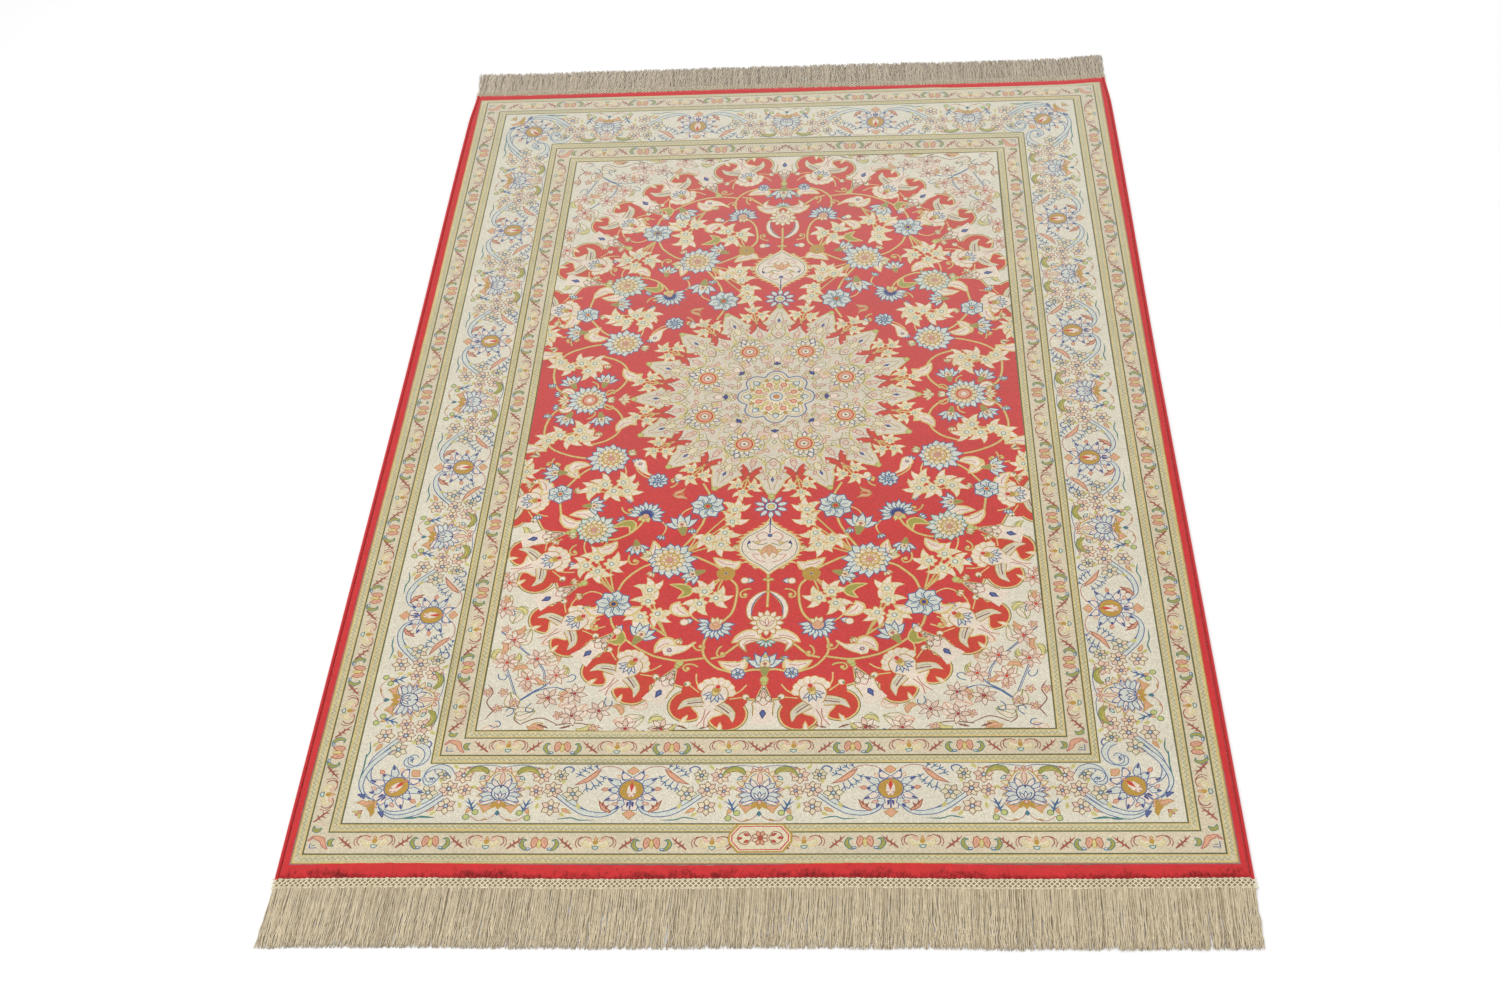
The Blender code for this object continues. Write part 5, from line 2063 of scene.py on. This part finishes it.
# === The stage ===
CAMERA_PLACE = (0.1182, -1.8191, 1.5988)
CAMERA_AHEAD = (-0.06342, 0.71270, -0.69860)
CAMERA_RIGHT = (0.99790, 0.03609, -0.05377)
CAMERA_LENS = 44.105
FLOOR_SIZE = 12.0
FLOOR_HEIGHT = -0.0002


def set_floor(colour):
    """A pale floor at the rug's underside."""
    half = FLOOR_SIZE / 2
    corners = [(x, y, FLOOR_HEIGHT) for x, y in ((-half, -half), (half, -half), (half, half), (-half, half))]
    floor = new_piece("floor", corners, [(0, 1, 2, 3)])
    floor.data.materials.append(floor_material("Floor", colour))


def area_light(name, place, target, size, power):
    """A soft rectangular light aimed at a point."""
    lamp = bpy.data.lights.new(name, "AREA")
    lamp.shape = "RECTANGLE"
    lamp.size, lamp.size_y = size
    lamp.energy = power
    light = bpy.data.objects.new(name, lamp)
    light.location = place
    light.rotation_euler = (Vector(target) - Vector(place)).to_track_quat("-Z", "Y").to_euler()
    bpy.context.collection.objects.link(light)


def set_lights(stage):
    """An even sky, a large light overhead and one beyond the rug's back end."""
    world = bpy.data.worlds.new("Sky")
    bpy.context.scene.world = world
    world.use_nodes = True
    ground = world.node_tree.nodes["Background"]
    ground.inputs["Color"].default_value = (1.0, 1.0, 1.0, 1.0)
    ground.inputs["Strength"].default_value = stage.sky
    area_light("Overhead", (-0.6, -1.0, 2.5), (0.0, 0.0, 0.0), (2.4, 2.4), stage.key)
    area_light("Beyond", (0.3, 2.6, 1.5), (0.0, 0.3, 0.0), (2.4, 1.0), stage.fill)
    bpy.context.scene.view_settings.view_transform = "Standard"


def set_camera():
    """A camera at the photo's place."""
    lens = bpy.data.cameras.new("Camera")
    lens.lens = CAMERA_LENS
    lens.sensor_width = 36.0
    lens.clip_end = 50.0
    camera = bpy.data.objects.new("Camera", lens)
    ahead, right = Vector(CAMERA_AHEAD).normalized(), Vector(CAMERA_RIGHT)
    right = (right - ahead * right.dot(ahead)).normalized()
    up = right.cross(ahead)
    turn = Matrix((right, up, -ahead)).transposed().to_4x4()
    camera.matrix_world = Matrix.Translation(CAMERA_PLACE) @ turn
    bpy.context.collection.objects.link(camera)
    bpy.context.scene.camera = camera


# === Operators: one for each piece or group of like pieces ===
class RUG_OT_foundation(bpy.types.Operator):
    """Weave the slab that carries the pile"""

    bl_idname = "rug.foundation"
    bl_label = "Weave the foundation"

    def execute(self, context):
        """Builds the slab under the pile."""
        piece = foundation(context.scene.rug_sizes.pile)
        yarn = plain_yarn_material("Foundation silk", FOUNDATION_LIGHT, FOUNDATION_DARK)
        finish_piece(piece, "pile", yarn, "rug_cloth")
        return {"FINISHED"}


class RUG_OT_field(bpy.types.Operator):
    """Knot the corners, the red field and the medallion"""

    bl_idname = "rug.field"
    bl_label = "Knot the field"

    def execute(self, context):
        """Knots the three parts of the middle."""
        names = ("pile_corners", "pile_red_field", "pile_medallion")
        silk = pile_material("Field silk", context.scene.rug_sizes.knot)
        side, end = BANDS["field"]
        for piece in knot_pile(names, field_chart(), flat_unwrap(side, end)):
            finish_piece(piece, "pile", silk, "rug_cloth")
        return {"FINISHED"}


class RUG_OT_borders(bpy.types.Operator):
    """Knot the inner guard, the main border and the outer guard with its plate"""

    bl_idname = "rug.borders"
    bl_label = "Knot the borders"

    def execute(self, context):
        """Knots the rings round the field."""
        silk = pile_material("Border silk", context.scene.rug_sizes.knot)
        for name, chart, inner, outer in (
                ("pile_inner_guard", inner_chart(), "field", "second_stripe"),
                ("pile_main_border", main_chart(), "second_stripe", "main_border"),
                ("pile_outer_guard", outer_chart(), "main_border", "fourth_stripe")):
            for piece in knot_pile((name,), chart, strip_unwrap(inner, outer)):
                finish_piece(piece, "pile", silk, "rug_cloth")
        unwrap = flat_unwrap(*PLATE_REACH)
        for piece in knot_pile(("pile_plate",), plate_chart(), unwrap, PLATE_MIDDLE, PLATE_LIFT):
            finish_piece(piece, "pile", silk, "rug_cloth")
        return {"FINISHED"}


class RUG_OT_edge(bpy.types.Operator):
    """Knot the plain red edge, with the tufts along its rim"""

    bl_idname = "rug.edge"
    bl_label = "Knot the red edge"

    def execute(self, context):
        """Builds the edge and its tufts."""
        silk = edge_material("Edge silk", context.scene.rug_sizes.knot, EDGE_RED, EDGE_SHADE)
        finish_piece(red_edge(), "pile", silk, "rug_cloth")
        tuft_silk = plain_yarn_material("Tuft silk", EDGE_RED, WRAP_DARK)
        finish_piece(rim_tufts(tuft_silk), "pile", tuft_silk, "rug_cloth")
        return {"FINISHED"}


class RUG_OT_selvedges(bpy.types.Operator):
    """Wrap the yarn round both side cords"""

    bl_idname = "rug.selvedges"
    bl_label = "Wrap the selvedges"

    def execute(self, context):
        """Builds the wraps of each side."""
        yarn = plain_yarn_material("Overcast silk", WRAP_RED, WRAP_DARK)
        pitch = context.scene.rug_sizes.wrap
        for name, side in (("left", -1), ("right", 1)):
            piece = selvedge(f"selvedge_{name}_wraps", side, pitch, yarn)
            finish_piece(piece, "overcast", yarn, f"selvedge_{name}")
        return {"FINISHED"}


class RUG_OT_headers(bpy.types.Operator):
    """Plait the headers at both ends"""

    bl_idname = "rug.headers"
    bl_label = "Plait the headers"

    def execute(self, context):
        """Builds each header's strip and its plait."""
        for end in ENDS:
            # The strip under the plait is coloured as painted shade.
            base_shade_yarn = plain_yarn_material(f"Gathered warps in painted shade {end}", *PLAIT_GAP_SHADE[end])
            finish_piece(header_base(end), "warp_silk", base_shade_yarn, f"fringe_{end}")
            cord = yarn_material(f"Plaited silk {end}", PLAIT_LIGHT[end], PLAIT_DARK[end])
            piece = header_plait(end, context.scene.rug_sizes.plait, cord)
            finish_piece(piece, "warp_silk", cord, f"fringe_{end}")
        return {"FINISHED"}


class RUG_OT_fringes(bpy.types.Operator):
    """Comb out the fringes at both ends"""

    bl_idname = "rug.fringes"
    bl_label = "Comb the fringes"

    def execute(self, context):
        """Builds each end's yarns."""
        sizes = context.scene.rug_sizes
        for end in ENDS:
            yarn = yarn_material(f"Fringe silk {end}", YARN_LIGHT[end], YARN_DARK[end])
            piece = fringe(end, sizes.yarn_pitch / YARN_LAYERS, sizes.yarn, yarn)
            finish_piece(piece, "warp_silk", yarn, f"fringe_{end}")
        return {"FINISHED"}


class RUG_OT_stage(bpy.types.Operator):
    """Set the floor, the lights and the camera"""

    bl_idname = "rug.stage"
    bl_label = "Set the stage"

    def execute(self, context):
        """Builds what stands round the rug."""
        stage = context.scene.rug_stage
        set_floor(stage.floor)
        set_lights(stage)
        set_camera()
        return {"FINISHED"}


class RUG_PT_panel(bpy.types.Panel):
    """The rug's pieces, in the order they are made"""

    bl_idname = "RUG_PT_panel"
    bl_label = "Persian rug"
    bl_space_type = "VIEW_3D"
    bl_region_type = "UI"
    bl_category = "Rug"

    def draw(self, context):
        """Lists the operators and the settings."""
        for operator in OPERATORS:
            self.layout.operator(operator.bl_idname)
        for settings in (context.scene.rug_sizes, context.scene.rug_stage, context.scene.rug_dyes):
            column = self.layout.box()
            for name in type(settings).__annotations__:
                column.prop(settings, name)


OPERATORS = (
    RUG_OT_foundation, RUG_OT_field, RUG_OT_borders, RUG_OT_edge, RUG_OT_selvedges, RUG_OT_headers,
    RUG_OT_fringes, RUG_OT_stage,
)
GROUPS = {"rug_dyes": RugDyes, "rug_sizes": RugSizes, "rug_stage": RugStage}


def register():
    """Adds the classes and the scene's settings."""
    for kind in (*GROUPS.values(), *OPERATORS, RUG_PT_panel):
        bpy.utils.register_class(kind)
    for name, kind in GROUPS.items():
        setattr(bpy.types.Scene, name, bpy.props.PointerProperty(type=kind))


def unregister():
    """Takes them away again."""
    for name in GROUPS:
        delattr(bpy.types.Scene, name)
    for kind in (RUG_PT_panel, *OPERATORS, *GROUPS.values()):
        bpy.utils.unregister_class(kind)


def main():
    """Makes the rug and its stage."""
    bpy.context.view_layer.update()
    register()
    bpy.ops.rug.foundation()
    bpy.ops.rug.field()
    bpy.ops.rug.borders()
    bpy.ops.rug.edge()
    bpy.ops.rug.selvedges()
    bpy.ops.rug.headers()
    bpy.ops.rug.fringes()
    bpy.ops.rug.stage()
    2 * cloth_half_width(FRONT_END_Y)


if __name__ == "__main__":
    main()
